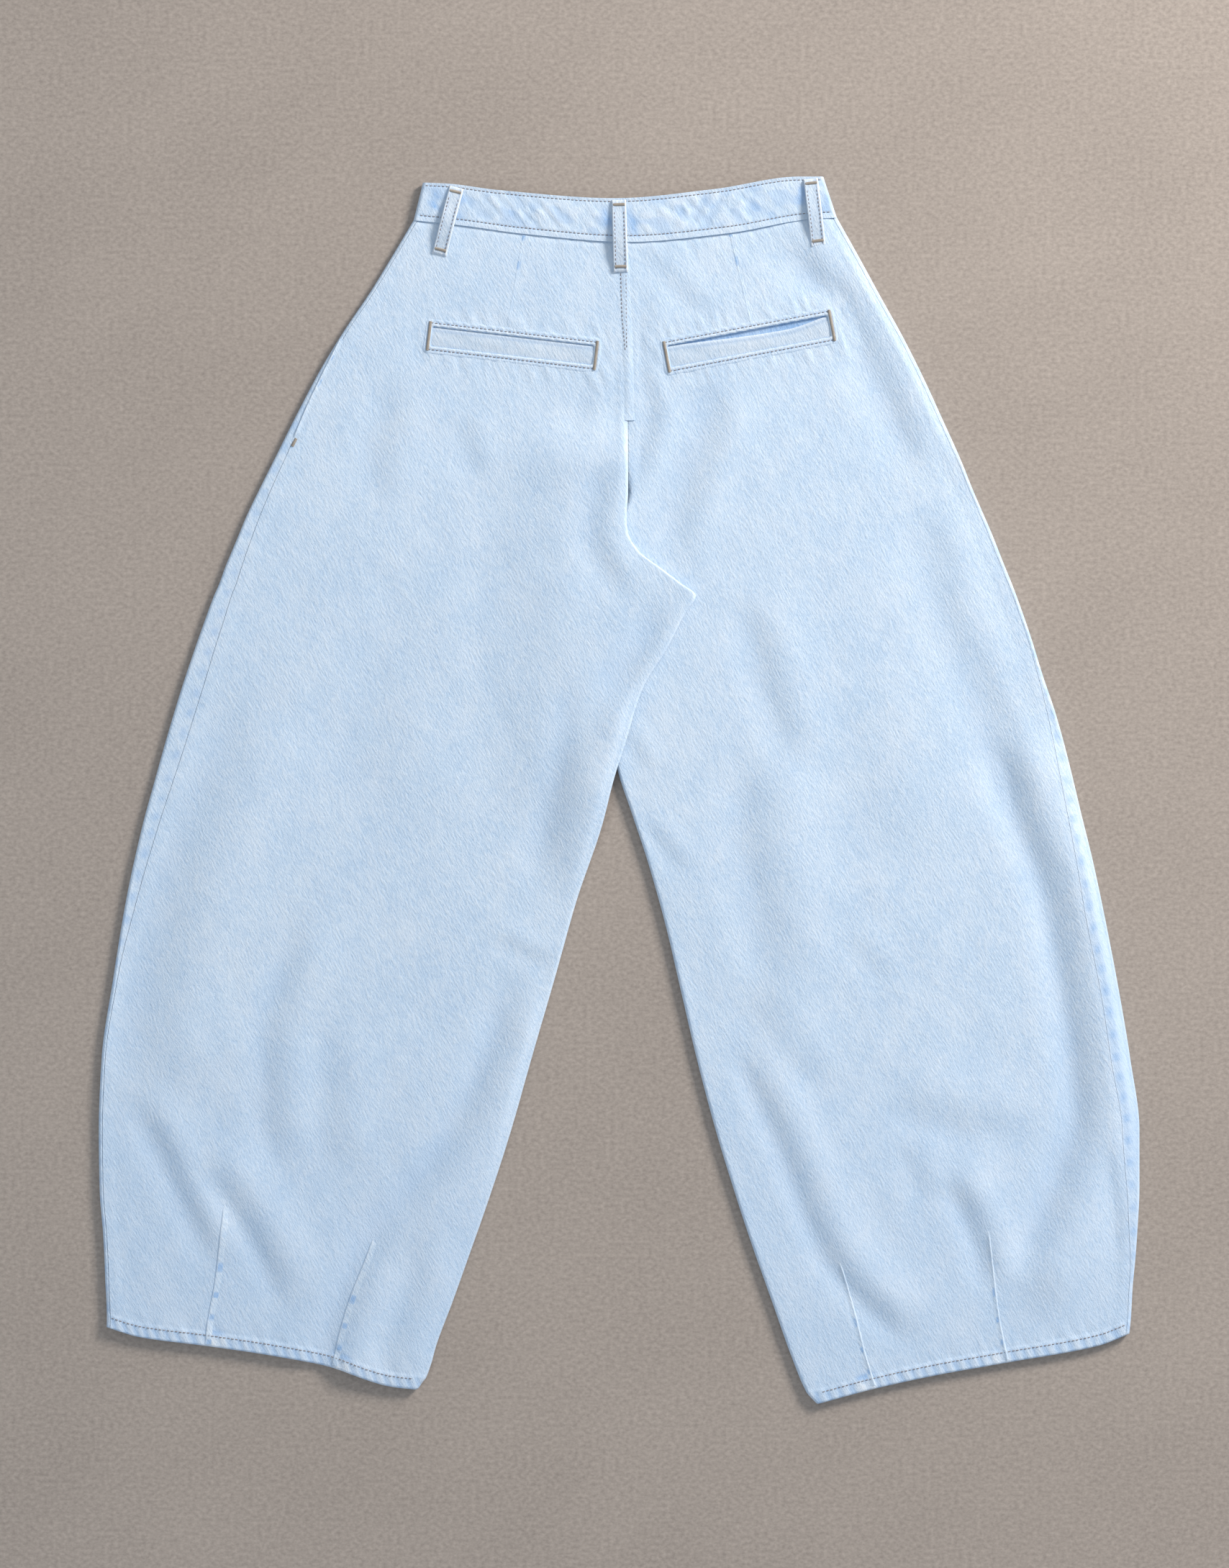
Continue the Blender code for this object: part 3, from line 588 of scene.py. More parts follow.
def joined(parts: Sequence[MeshParts]) -> MeshParts:
    """Put several meshes into one."""
    points = np.concatenate([part.points for part in parts])
    faces: list[tuple[int, ...]] = []
    start = 0
    for part in parts:
        faces.extend([tuple(corner + start for corner in face) for face in part.faces])
        start += len(part.points)
    return MeshParts(points, faces)


def six_volumes(points: np.ndarray, faces: Sequence[Sequence[int]]) -> float:
    """Add up the signed volume under each face, which is negative for a shape inside out."""
    total = 0.0
    by_count: dict[int, list[Sequence[int]]] = {}
    for face in faces:
        by_count.setdefault(len(face), []).append(face)
    for count, same in by_count.items():
        corners = points[np.asarray(same)]
        for second in range(1, count - 1):
            crossed = np.cross(corners[:, second], corners[:, second + 1])
            total += float(np.einsum("ij,ij->", corners[:, 0], crossed))
    return total


def add_piece(
    name: str,
    parts: MeshParts,
    material: bpy.types.Material,
    values: dict[str, np.ndarray] | None = None,
    crease_degrees: float = 50.0,
) -> bpy.types.Object:
    """Put a closed mesh into the scene, facing outwards and shaded smooth between creases.

    Args:
        name: The piece's name.
        parts: Its points in millimetres, and its faces.
        material: Its finish.
        values: Numbers for each point, which the material reads by name.
        crease_degrees: Edges sharper than this stay sharp.

    Returns:
        The new object, with its place in its mesh.
    """
    faces = parts.faces
    if six_volumes(parts.points, faces) < 0:
        faces = [tuple(reversed(face)) for face in faces]
    flat = np.concatenate([np.asarray(face) for face in faces])
    used, corners = np.unique(flat, return_inverse=True)
    counts = np.array([len(face) for face in faces])
    starts = np.concatenate([[0], np.cumsum(counts)[:-1]])
    mesh = bpy.data.meshes.new(name)
    mesh.vertices.add(len(used))
    mesh.vertices.foreach_set("co", (parts.points[used] * MM).ravel())
    mesh.loops.add(len(corners))
    mesh.loops.foreach_set("vertex_index", corners.astype(np.int32))
    mesh.polygons.add(len(counts))
    mesh.polygons.foreach_set("loop_start", starts.astype(np.int32))
    mesh.update(calc_edges=True)
    mesh.validate()
    for label, numbers in (values or {}).items():
        layer = mesh.attributes.new(label, "FLOAT", "POINT")
        layer.data.foreach_set("value", numbers.ravel()[used].astype(np.float32))
    mesh.materials.append(material)
    mesh.shade_smooth()
    mesh.set_sharp_from_angle(angle=np.radians(crease_degrees))
    piece = bpy.data.objects.new(name, mesh)
    bpy.context.scene.collection.objects.link(piece)
    return piece


def dress(piece: bpy.types.Object, slot: str, *nodes: str) -> None:
    """Let a piece move with the body and stand for the nodes it covers."""
    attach(piece, BODY)
    if nodes:
        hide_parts(*nodes)
    LOG.info("%s: %d faces", piece.name, len(piece.data.polygons))


class Cut(NamedTuple):
    """The flat cut of a cloth surface: its width, its length and its area, in metres."""

    width: float
    length: float
    area: float


class Socket:
    """An output of a material's node, with arithmetic on it written as expressions."""

    def __init__(self, sheet: "NodeSheet", link: bpy.types.NodeSocket) -> None:
        """Wrap one output."""
        self.sheet = sheet
        self.link = link

    def _math(self, operation: str, first: object, second: object) -> "Socket":
        """Add a Math node on two values."""
        return self.sheet.add("ShaderNodeMath", {"operation": operation}, {0: first, 1: second})

    def __add__(self, other: object) -> "Socket":
        """Add a value."""
        return self._math("ADD", self, other)

    def __radd__(self, other: object) -> "Socket":
        """Add to a value."""
        return self._math("ADD", other, self)

    def __sub__(self, other: object) -> "Socket":
        """Take a value away."""
        return self._math("SUBTRACT", self, other)

    def __rsub__(self, other: object) -> "Socket":
        """Take this away from a value."""
        return self._math("SUBTRACT", other, self)

    def __mul__(self, other: object) -> "Socket":
        """Multiply by a value."""
        return self._math("MULTIPLY", self, other)

    def __rmul__(self, other: object) -> "Socket":
        """Multiply a value."""
        return self._math("MULTIPLY", other, self)

    def held(self) -> "Socket":
        """Hold the value to 0..1."""
        return self.sheet.add("ShaderNodeClamp", {}, {"Value": self})


class NodeSheet:
    """A new material and the nodes that make up its finish."""

    def __init__(self, name: str) -> None:
        """Start a material with its shader only."""
        self.material = bpy.data.materials.new(name)
        self.material.use_nodes = True
        self.tree = self.material.node_tree
        self.shader = self.tree.nodes["Principled BSDF"]

    def add(
        self, kind: str, settings: dict[str, object], values: dict[int | str, object], output: int | str = 0
    ) -> Socket:
        """Add a node.

        Args:
            kind: The node's type.
            settings: Its settings, which are set first.
            values: Numbers or links for its inputs, by name or place.
            output: Which output to hand back.

        Returns:
            That output.
        """
        node = self.tree.nodes.new(kind)
        for label, setting in settings.items():
            setattr(node, label, setting)
        self.fill(node, values)
        return Socket(self, node.outputs[output])

    def fill(self, node: bpy.types.Node, values: dict[int | str, object]) -> None:
        """Set or link a node's inputs."""
        for label, value in values.items():
            if isinstance(value, Socket):
                self.tree.links.new(value.link, node.inputs[label])
            else:
                node.inputs[label].default_value = value

    def place(self) -> Socket:
        """Read where a point lies on the piece, in metres."""
        return self.add("ShaderNodeTexCoord", {}, {}, "Object")

    def value_of(self, name: str) -> Socket:
        """Read a number that the mesh holds for each point."""
        return self.add("ShaderNodeAttribute", {"attribute_name": name}, {}, "Fac")

    def noise(self, long: float, short: float, degrees: float, detail: float) -> Socket:
        """Read cloudy noise, about 0 in the middle.

        Args:
            long: The size of its grain along its direction, in millimetres.
            short: The size of its grain across it.
            degrees: Its direction, turned from +X towards +Y.
            detail: How many finer layers it has.

        Returns:
            The noise.
        """
        turned = self.add(
            "ShaderNodeMapping",
            {"vector_type": "TEXTURE"},
            {
                "Vector": self.place(),
                "Rotation": (0.0, 0.0, float(np.radians(degrees))),
                "Scale": (long * MM, short * MM, short * MM),
            },
        )
        cloud = self.add(
            "ShaderNodeTexNoise",
            {},
            {"Vector": turned, "Scale": 1.0, "Detail": detail, "Roughness": 0.6},
        )
        return cloud - 0.5

    def mix(self, share: Socket | float, first: object, second: object) -> Socket:
        """Blend two colours."""
        return self.add(
            "ShaderNodeMix", {"data_type": "RGBA"}, {0: share, 6: first, 7: second}, 2
        )

    def bump(self, height: Socket, strength: float, depth: float) -> Socket:
        """Turn a height into a bumped normal."""
        return self.add("ShaderNodeBump", {}, {"Height": height, "Strength": strength, "Distance": depth})


Colour = tuple[float, float, float, float]


@dataclass(frozen=True)
class DenimFinish:
    """Bleached twill: slubby threads, cloudy bleach, paler where worn and bluer where not.
    The mesh's worn value also carries painted highlight, and its deep value painted shade.

    cloud, slub and grain are how strongly the bleach's clouds, the slanting slubs and the
    finest threads show.
    """

    name: str
    pale: Colour
    deep: Colour
    worn: Colour
    blue: Colour
    cloud: float = 0.55
    slub: float = 1.2
    grain: float = 0.7
    roughness: float = 0.88
    sheen: float = 0.1

    def build(self) -> bpy.types.Material:
        """Make the material."""
        sheet = NodeSheet(self.name)
        patch = sheet.noise(150.0, 90.0, 80.0, 2.0)
        cloud = sheet.noise(30.0, 18.0, 70.0, 4.0)
        slub = sheet.noise(6.5, 1.5, -62.0, 3.0)
        fleck = sheet.noise(2.6, 1.7, 75.0, 2.0)
        grain = sheet.noise(0.8, 0.5, -45.0, 1.0)
        threads = self.slub * (slub + 0.8 * fleck) + self.grain * grain
        tone = (0.56 + self.cloud * (cloud + 0.7 * patch) + threads).held()
        colour = sheet.mix(tone, self.deep, self.pale)
        bleach = (0.12 + 0.9 * sheet.noise(46.0, 30.0, 60.0, 3.0) + 0.9 * slub).held()
        colour = sheet.mix(bleach, colour, self.worn)
        # Paler by the mesh's worn value: wear, and painted highlight on fold crests.
        rubbed_and_lit = (sheet.value_of("worn") * (0.9 + 1.4 * (slub + fleck))).held()
        colour = sheet.mix(rubbed_and_lit, colour, self.worn)
        # Bluer by the mesh's deep value: unbleached blue, and painted shade in fold troughs, dart grooves
        # and on the wall into a pocket's mouth.
        unworn_and_shaded = (sheet.value_of("deep") * (0.9 + 1.2 * (slub + fleck))).held()
        colour = sheet.mix(unworn_and_shaded, colour, self.blue)
        normal = sheet.bump(slub + 0.7 * fleck + 0.3 * grain, 0.5, 0.0009)
        sheet.fill(sheet.shader, {"Base Color": colour, "Normal": normal, "Roughness": self.roughness})
        sheet.shader.inputs["Sheen Weight"].default_value = self.sheen
        sheet.shader.inputs["Sheen Roughness"].default_value = 0.5
        sheet.shader.inputs["Specular IOR Level"].default_value = 0.2
        return sheet.material


@dataclass(frozen=True)
class ThreadFinish:
    """Sewing thread: two close tones that change a little along the seam."""

    name: str
    light: Colour
    dark: Colour

    def build(self) -> bpy.types.Material:
        """Make the material."""
        sheet = NodeSheet(self.name)
        tone = (0.5 + 1.4 * sheet.noise(6.0, 6.0, 0.0, 2.0)).held()
        twist = sheet.noise(0.6, 0.3, 30.0, 1.0)
        sheet.fill(
            sheet.shader,
            {
                "Base Color": sheet.mix(tone, self.dark, self.light),
                "Normal": sheet.bump(twist, 0.4, 0.0003),
                "Roughness": 0.7,
            },
        )
        return sheet.material


@dataclass(frozen=True)
class MetalFinish:
    """Aged button metal, with fine scratches and duller patches."""

    name: str
    bright: Colour
    dull: Colour

    def build(self) -> bpy.types.Material:
        """Make the material."""
        sheet = NodeSheet(self.name)
        patch = (0.5 + 1.6 * sheet.noise(2.4, 2.4, 0.0, 3.0)).held()
        scratch = sheet.noise(3.4, 0.24, 0.0, 2.0)
        sheet.fill(
            sheet.shader,
            {
                "Base Color": sheet.mix(patch, self.dull, self.bright),
                "Roughness": (0.32 + 0.2 * patch).held(),
                "Normal": sheet.bump(scratch, 0.15, 0.0002),
                "Metallic": 1.0,
            },
        )
        return sheet.material


@dataclass(frozen=True)
class FloorFinish:
    """A plain pale floor with a faint unevenness."""

    name: str
    light: Colour
    dark: Colour

    def build(self) -> bpy.types.Material:
        """Make the material."""
        sheet = NodeSheet(self.name)
        cloud = sheet.noise(240.0, 150.0, 30.0, 3.0)
        speck = sheet.noise(4.0, 3.0, 0.0, 3.0)
        tone = (0.5 + 0.35 * cloud + 1.3 * speck).held()
        sheet.fill(
            sheet.shader,
            {"Base Color": sheet.mix(tone, self.dark, self.light), "Roughness": 0.9},
        )
        return sheet.material


class Finishes:
    """All the finishes of the trousers, made once."""

    def __init__(self) -> None:
        """Make the materials."""
        self.denim = DenimFinish(
            "bleached_denim",
            pale=(0.67, 0.77, 0.865, 1.0),
            deep=(0.46, 0.60, 0.76, 1.0),
            worn=(0.78, 0.82, 0.86, 1.0),
            blue=(0.27, 0.46, 0.74, 1.0),
        ).build()
        self.trim = DenimFinish(
            "worn_denim_trim",
            pale=(0.64, 0.72, 0.795, 1.0),
            deep=(0.47, 0.585, 0.71, 1.0),
            worn=(0.80, 0.82, 0.84, 1.0),
            blue=(0.22, 0.37, 0.60, 1.0),
        ).build()
        # The facing behind the mouth gets a darker, more saturated blue than the panels.
        self.pocketing = DenimFinish(
            "darker_pocket_denim",
            pale=(0.38, 0.55, 0.77, 1.0),
            deep=(0.20, 0.35, 0.60, 1.0),
            worn=(0.60, 0.70, 0.84, 1.0),
            blue=(0.14, 0.26, 0.52, 1.0),
        ).build()
        self.thread = ThreadFinish(
            "grey_tan_thread", light=(0.38, 0.34, 0.33, 1.0), dark=(0.19, 0.17, 0.18, 1.0)
        ).build()
        self.tack_thread = ThreadFinish(
            "tan_tack_thread", light=(0.50, 0.43, 0.35, 1.0), dark=(0.31, 0.26, 0.21, 1.0)
        ).build()
        self.metal = MetalFinish(
            "aged_button_metal", bright=(0.60, 0.55, 0.46, 1.0), dull=(0.38, 0.34, 0.28, 1.0)
        ).build()
        self.floor = FloorFinish(
            "pale_floor", light=(0.52, 0.435, 0.365, 1.0), dark=(0.27, 0.222, 0.188, 1.0)
        ).build()


def pocket_frame_of(pocket: Pocket, x: np.ndarray, y: np.ndarray) -> tuple[np.ndarray, np.ndarray]:
    """Turn places on the cloth into places along and across a pocket's mouth."""
    angle = np.radians(pocket.degrees)
    along = (x - pocket.x) * np.cos(angle) + (y - pocket.y) * np.sin(angle)
    across = (y - pocket.y) * np.cos(angle) - (x - pocket.x) * np.sin(angle)
    return along, across


def pocket_place(pocket: Pocket, along: np.ndarray, across: np.ndarray) -> tuple[np.ndarray, np.ndarray]:
    """Turn places along and across a pocket's mouth into places on the cloth."""
    angle = np.radians(pocket.degrees)
    x = pocket.x + along * np.cos(angle) - across * np.sin(angle)
    y = pocket.y + along * np.sin(angle) + across * np.cos(angle)
    return x, y


def outside_mouth(pocket: Pocket, margin: float, x: np.ndarray, y: np.ndarray) -> np.ndarray:
    """Measure how far places lie outside a pocket's mouth, widened by a margin."""
    along, across = pocket_frame_of(pocket, x, y)
    past_end = np.maximum(np.abs(along) - MOUTH_LENGTH / 2 - margin, 0.0)
    past_side = np.maximum(np.abs(across) - pocket.depth / 2 - margin, 0.0)
    return np.hypot(past_end, past_side)


class Side(Enum):
    """Which leg, by the wearer."""

    LEFT = "left"
    RIGHT = "right"


@dataclass
class Leg:
    """One leg's cloth: a back panel on top and a front panel that rolls round onto it.

    seam_rise and centre_rise are how high the folded seam allowances lift the cloth, within
    seam_band of the side seam and centre_band of the centre seam's fold, and blotch_pitch is
    the distance between the bluer places along the side seam.
    """

    side: Side
    sections: list[Section]
    folds: list[Fold]
    hem: list[tuple[float, float]]
    row_step: float = 3.3
    columns: int = 126
    roll_columns: int = 12
    lap_columns: int = 9
    under_columns: int = 44
    hem_row_step: float = 1.0
    seam_rise: float = 0.38
    seam_band: float = 6.5
    centre_rise: float = 0.3
    centre_band: float = 7.0
    blotch_pitch: float = 18.6
    down: np.ndarray = field(init=False)

    def __post_init__(self) -> None:
        """Read the sections at close, even rows from the waist to the hem."""
        outer_y = self.column("outer_y")
        inner_y = self.column("inner_y")
        middle = (outer_y + inner_y) / 2
        down = middle[0] - middle
        self.down = self.stations(float(down[-1]))
        rows = {name: spline(down, self.column(name), self.down)[:, None] for name in Section._fields}
        self.row = Section(**rows)
        self.down = self.down[:, None]
        self.across = np.hypot(self.row.inner_x - self.row.outer_x, self.row.inner_y - self.row.outer_y)
        self.to_hem = self.down[-1] - self.down
        part = self.row.seam_in / self.across
        seam_x = self.row.outer_x + (self.row.inner_x - self.row.outer_x) * part
        seam_y = self.row.outer_y + (self.row.inner_y - self.row.outer_y) * part
        every = slice(None, None, 4)
        self.outer_line = np.concatenate([self.row.outer_x, self.row.outer_y], axis=1)[every]
        self.inner_line = np.concatenate([self.row.inner_x, self.row.inner_y], axis=1)[every]
        self.seam_line = np.concatenate([seam_x, seam_y], axis=1)[every]
        self.inward = 1.0 if self.side is Side.LEFT else -1.0
        seed = 10 if self.side is Side.LEFT else 20
        self.slubs = Crinkle(seed + 1, 19.0, 42.0, 0.14, 0.4)
        self.ripples = Crinkle(seed + 2, 6.5, 15.0, 0.09, 0.6)
        self.swells = Crinkle(seed + 3, 70.0, 90.0, 0.4)
        self.gathers = Crinkle(seed + 4, 4.8, 17.0, 0.36, 0.4)

    def column(self, name: str) -> np.ndarray:
        """Take one named column of the leg's table."""
        return np.array([getattr(section, name) for section in self.sections], float)

    def stations(self, length: float) -> np.ndarray:
        """Place the rows: even ones, then closer ones over the turned hem."""
        hem_top = length - HEM_DEPTH - 4.0
        above = np.linspace(0.0, hem_top, int(hem_top / self.row_step), endpoint=False)
        below = np.linspace(hem_top, length, int((length - hem_top) / self.hem_row_step) + 1)
        return np.concatenate([above, below])

    def lay(self, inside: np.ndarray) -> tuple[np.ndarray, np.ndarray]:
        """Place points on the floor, each a distance inside its row's outer edge.

        The first rows take up the curve of the waist seam, and the last ones the hem's.
        """
        part = inside / self.across
        x = self.row.outer_x + (self.row.inner_x - self.row.outer_x) * part
        y = self.row.outer_y + (self.row.inner_y - self.row.outer_y) * part
        y = y + (1.0 - smooth(self.down / WAIST_CURVE_REACH)) * self.bend(WAIST_SEAM, 0, x)
        y = y + (1.0 - smooth(self.to_hem / HEM_CURVE_REACH)) * self.bend(self.hem, -1, x)
        return x, y

    def bend(self, line: list[tuple[float, float]], row: int, x: np.ndarray) -> np.ndarray:
        """Read how far a line departs from the straight first or last section."""
        first_x = self.row.outer_x[row]
        first_y = self.row.outer_y[row]
        run_x = self.row.inner_x[row] - first_x
        run_y = self.row.inner_y[row] - first_y
        run = np.clip((x - first_x) / run_x, 0.0, 1.0)
        return line_height(line, first_x + run_x * run) - first_y - run_y * run

    def lift(self, x: np.ndarray, y: np.ndarray) -> np.ndarray:
        """Read how high the right leg lifts this leg's cloth off the floor.

        The lift is full over the right leg's hidden edge and runs out to the left of it.
        """
        if self.side is Side.RIGHT:
            return np.zeros(np.broadcast(x, y).shape)
        edge = [(-section.inner_y, section.inner_x) for section in RIGHT_LEG]
        beyond = line_height(edge, -y) - OVER_SHELF - x
        below_seat = smooth((OVER_HIGH_END - y) / OVER_HIGH_RUN)
        above_gap = smooth((y - OVER_LOW_END) / OVER_LOW_RUN)
        return (LEG_HEIGHT + OVER_CLEARANCE) * below_seat * above_gap * (1.0 - smooth(beyond / OVER_RAMP))

    def relief(self, x: np.ndarray, y: np.ndarray) -> np.ndarray:
        """Add up the folds and the cloth's soft unevenness.

        Across a fold's line the height is the slope times the distance, dying away as a bell,
        so that a trough and a ridge lie side by side. Along the line it fades in and out.
        """
        x, y = np.broadcast_arrays(x, y)
        relief = np.zeros(x.shape)
        for fold in self.folds:
            near = near_line(curve_through(fold.path, 12.0), x, y)
            width = np.where(near.side > 0, fold.east, fold.west)
            run = min(FOLD_END_SHARE * near.length, FOLD_END_RUN)
            fade = smooth(near.along / run) * smooth((near.length - near.along) / run)
            across = np.sign(near.side) * near.away
            relief += fold.rise * across * np.exp(-((across / width) ** 2) / 2.0) * fade
        relief += self.swells.read(x, y) + self.slubs.read(x, y)
        free = smooth(near_line(self.outer_line, x, y).away / FOLD_FREE_EDGE)
        free = free * smooth(near_line(self.inner_line, x, y).away / FOLD_FREE_EDGE)
        for pocket in POCKETS:
            free = free * smooth(outside_mouth(pocket, FACING_LAP, x, y) / POCKET_FREE_RUN)
        return np.maximum(relief * free, -DEEPEST_TROUGH)

    def roping(self, x: np.ndarray, y: np.ndarray) -> np.ndarray:
        """Read the slanting, uneven ripple of the turned hem, from -1 to 1."""
        above_hem = y - line_height(self.hem, x)
        return np.sin(2.0 * np.pi * (x + 0.4 * above_hem) / 9.8 + self.slubs.read(x, y * 0.3) * 16.0)

    def puckers(self, x: np.ndarray, y: np.ndarray) -> np.ndarray:
        """Read the small puckers beside the hem, the waist seam and the pocket mouths."""
        x, y = np.broadcast_arrays(x, y)
        above_hem = y - line_height(self.hem, x)
        gathers = self.gathers.read(x, y)
        height = 0.26 * self.roping(x, y) * (1.0 - smooth((above_hem - 9.0) / 6.0))
        height += 0.8 * gathers * smooth((above_hem - 8.0) / 5.0) * (1.0 - smooth((above_hem - 14.0) / 22.0))
        below_band = line_height(WAIST_SEAM, x) - y
        height += 0.9 * gathers * (1.0 - smooth(below_band / 24.0))
        height -= 0.8 * (1.0 - smooth(below_band / 2.6))
        for pocket in POCKETS:
            past = outside_mouth(pocket, 5.0, x, y)
            height += 1.7 * gathers * smooth(past / 2.0) * (1.0 - smooth(past / 24.0))
        return height + self.ripples.read(x, y)

    def hem_rise(self, x: np.ndarray, y: np.ndarray) -> np.ndarray:
        """Read how much higher the turned hem makes the cloth, with a rounded lower fold."""
        above_hem = y - line_height(self.hem, x)
        step = 0.6 * HEM_EXTRA * smooth((HEM_DEPTH + HEM_STEP - above_hem) / (2.0 * HEM_STEP))
        fold = 1.0 - np.clip(above_hem / 1.2, 0.0, 1.0)
        return step - 1.1 * (1.0 - np.sqrt(np.maximum(1.0 - fold**2, 0.0)))

    def ground(self, x: np.ndarray, y: np.ndarray) -> np.ndarray:
        """Read the height of the cloth's top without its hem and raised seams."""
        return self.lift(x, y) + LEG_HEIGHT + self.relief(x, y)

    def seam_edge(self, x: np.ndarray, y: np.ndarray) -> np.ndarray:
        """Read the rise of the back panel along its seams.

        Beside the side seam, and beside the centre seam down to the crotch, the cloth lies on
        its folded seam allowance, so it stands up over a narrow band and steps down from it.
        """
        seam = near_line(self.seam_line, x, y)
        bumps = 0.8 + 0.2 * np.sin(2.0 * np.pi * seam.along / self.blotch_pitch)
        rise = self.seam_rise * bumps * (1.0 - smooth((seam.away - self.seam_band) / 4.5))
        if self.side is Side.LEFT:
            inner = near_line(self.inner_line, x, y)
            above_crotch = smooth((y - 175.0) / 40.0) * smooth((400.0 - y) / 60.0)
            edge = self.centre_rise * (1.0 - smooth((inner.away - self.centre_band) / 4.0))
            rise = np.maximum(rise, edge * above_crotch)
        return rise

    def top(self, x: np.ndarray, y: np.ndarray) -> np.ndarray:
        """Read the height of the back panel's outer side at any place."""
        x, y = np.broadcast_arrays(np.asarray(x, float), np.asarray(y, float))
        return self.ground(x, y) + self.puckers(x, y) + self.seam_edge(x, y) + self.hem_rise(x, y)

    def roll_start(self) -> np.ndarray:
        """Read where the back panel starts to turn over the inner edge."""
        turn = self.row.roll * BACK_TURN
        length = LEG_HEIGHT / 2 * BACK_TURN
        full = length * np.sinc(np.minimum(turn, np.pi / 2) / np.pi)
        reach = np.where(turn > np.pi / 2, length / np.maximum(turn, 0.1), full)
        return self.across - reach

    def hold(self, inside: np.ndarray, z: np.ndarray) -> np.ndarray:
        """Place points at a height of their own."""
        x, y = self.lay(inside)
        return np.stack(np.broadcast_arrays(x, y, z), axis=-1)

    def back_surfaces(self) -> tuple[np.ndarray, np.ndarray]:
        """Lay out the back panel's outer and inner grid.

        Across a row the cloth runs level from the side seam, then turns over the inner edge
        on a circle whose radius is half the leg's thickness.
        """
        start = self.roll_start()
        part = np.linspace(0.0, 1.0, self.columns)[None, :]
        inside = self.row.seam_in + SEAM_GAP / 2 + (start - self.row.seam_in - SEAM_GAP / 2) * part
        x, y = self.lay(inside)
        ground = self.ground(x, y)
        top = ground + self.puckers(x, y) + self.seam_edge(x, y) + self.hem_rise(x, y)
        outer = [self.hold(inside, top)]
        inner = [self.hold(inside, ground - WALL)]
        sx, sy = self.lay(start)
        start_ground = self.ground(sx, sy)
        rise = self.top(sx, sy) - start_ground
        length = LEG_HEIGHT / 2 * BACK_TURN
        run = length * np.linspace(0.0, 1.0, self.roll_columns + 1)[None, 1:]
        turn = self.row.roll * run / (LEG_HEIGHT / 2)
        out = start + run * np.sinc(turn / np.pi)
        level = start_ground - run * np.sin(turn / 2) * np.sinc(turn / 2 / np.pi)
        outer.append(self.hold(out + rise * np.sin(turn) * 0.5, level + rise * np.cos(turn)))
        inner.append(self.hold(out - WALL * np.sin(turn), level - WALL * np.cos(turn)))
        return np.concatenate(outer, axis=1), np.concatenate(inner, axis=1)

    def front_surfaces(self) -> tuple[np.ndarray, np.ndarray]:
        """Lay out the front panel's outer and inner grid.

        From the side seam the cloth runs level to the outer edge, turns under on a half
        circle, runs flat along the floor and curls up a little at the inner edge.
        """
        radius = LEG_HEIGHT / 2
        lap = self.row.seam_in - SEAM_GAP / 2
        part = np.linspace(0.0, 1.0, self.lap_columns)[None, :-1]
        inside = lap + (radius - lap) * part
        x, y = self.lay(inside)
        ground = self.ground(x, y)
        strip = ground + self.ripples.read(x, y) + self.hem_rise(x, y)
        outer = [self.hold(inside, strip)]
        inner = [self.hold(inside, ground - WALL)]
        ex, ey = self.lay(np.zeros_like(self.across))
        base = self.lift(ex, ey)
        angle = np.linspace(np.pi / 2, 3 * np.pi / 2, self.roll_columns)[None, :]
        thick = radius + self.hem_rise(ex, ey) * np.maximum(np.sin(angle), 0.0)
        rim = radius + radius * np.cos(angle)
        wall = radius + (radius - WALL) * np.cos(angle)
        outer.append(self.hold(rim, base + radius + thick * np.sin(angle)))
        inner.append(self.hold(wall, base + radius + (radius - WALL) * np.sin(angle)))
        start = self.roll_start()
        part = np.linspace(0.0, 1.0, self.under_columns)[None, 1:]
        inside = radius + (start - radius) * part
        x, y = self.lay(inside)
        under = self.lift(x, y) + np.maximum(self.relief(x, y) - NEST, 0.0)
        outer.append(self.hold(inside, under))
        inner.append(self.hold(inside, under + WALL))
        curl = np.clip(2.0 * self.row.roll - 1.0, 0.0, 1.0)
        full = FRONT_TURN - 2.0 * SEAM_GAP / radius
        length = radius * full
        short = 8.0 * self.row.roll * (1.0 - self.row.roll)
        start = self.across - short - curl * radius - (1.0 - curl) * length
        sx, sy = self.lay(start)
        start_base = self.lift(sx, sy) + np.maximum(self.relief(sx, sy) - NEST, 0.0)
        run = length * np.linspace(0.0, 1.0, 5)[None, 1:]
        turn = curl * run / radius
        out = start + run * np.sinc(turn / np.pi)
        rise = start_base + run * np.sin(turn / 2) * np.sinc(turn / 2 / np.pi)
        outer.append(self.hold(out, rise))
        inner.append(self.hold(out - WALL * np.sin(turn), rise + WALL * np.cos(turn)))
        return np.concatenate(outer, axis=1), np.concatenate(inner, axis=1)

    def holes(self, surface: np.ndarray) -> np.ndarray:
        """Mark the cells that are cloth, leaving out those inside a pocket's mouth."""
        middle = (surface[1:, 1:, :2] + surface[:-1, :-1, :2]) / 2
        keep = np.ones(middle.shape[:2], bool)
        for pocket in POCKETS:
            keep &= outside_mouth(pocket, 2.0, middle[..., 0], middle[..., 1]) > 0
        return keep

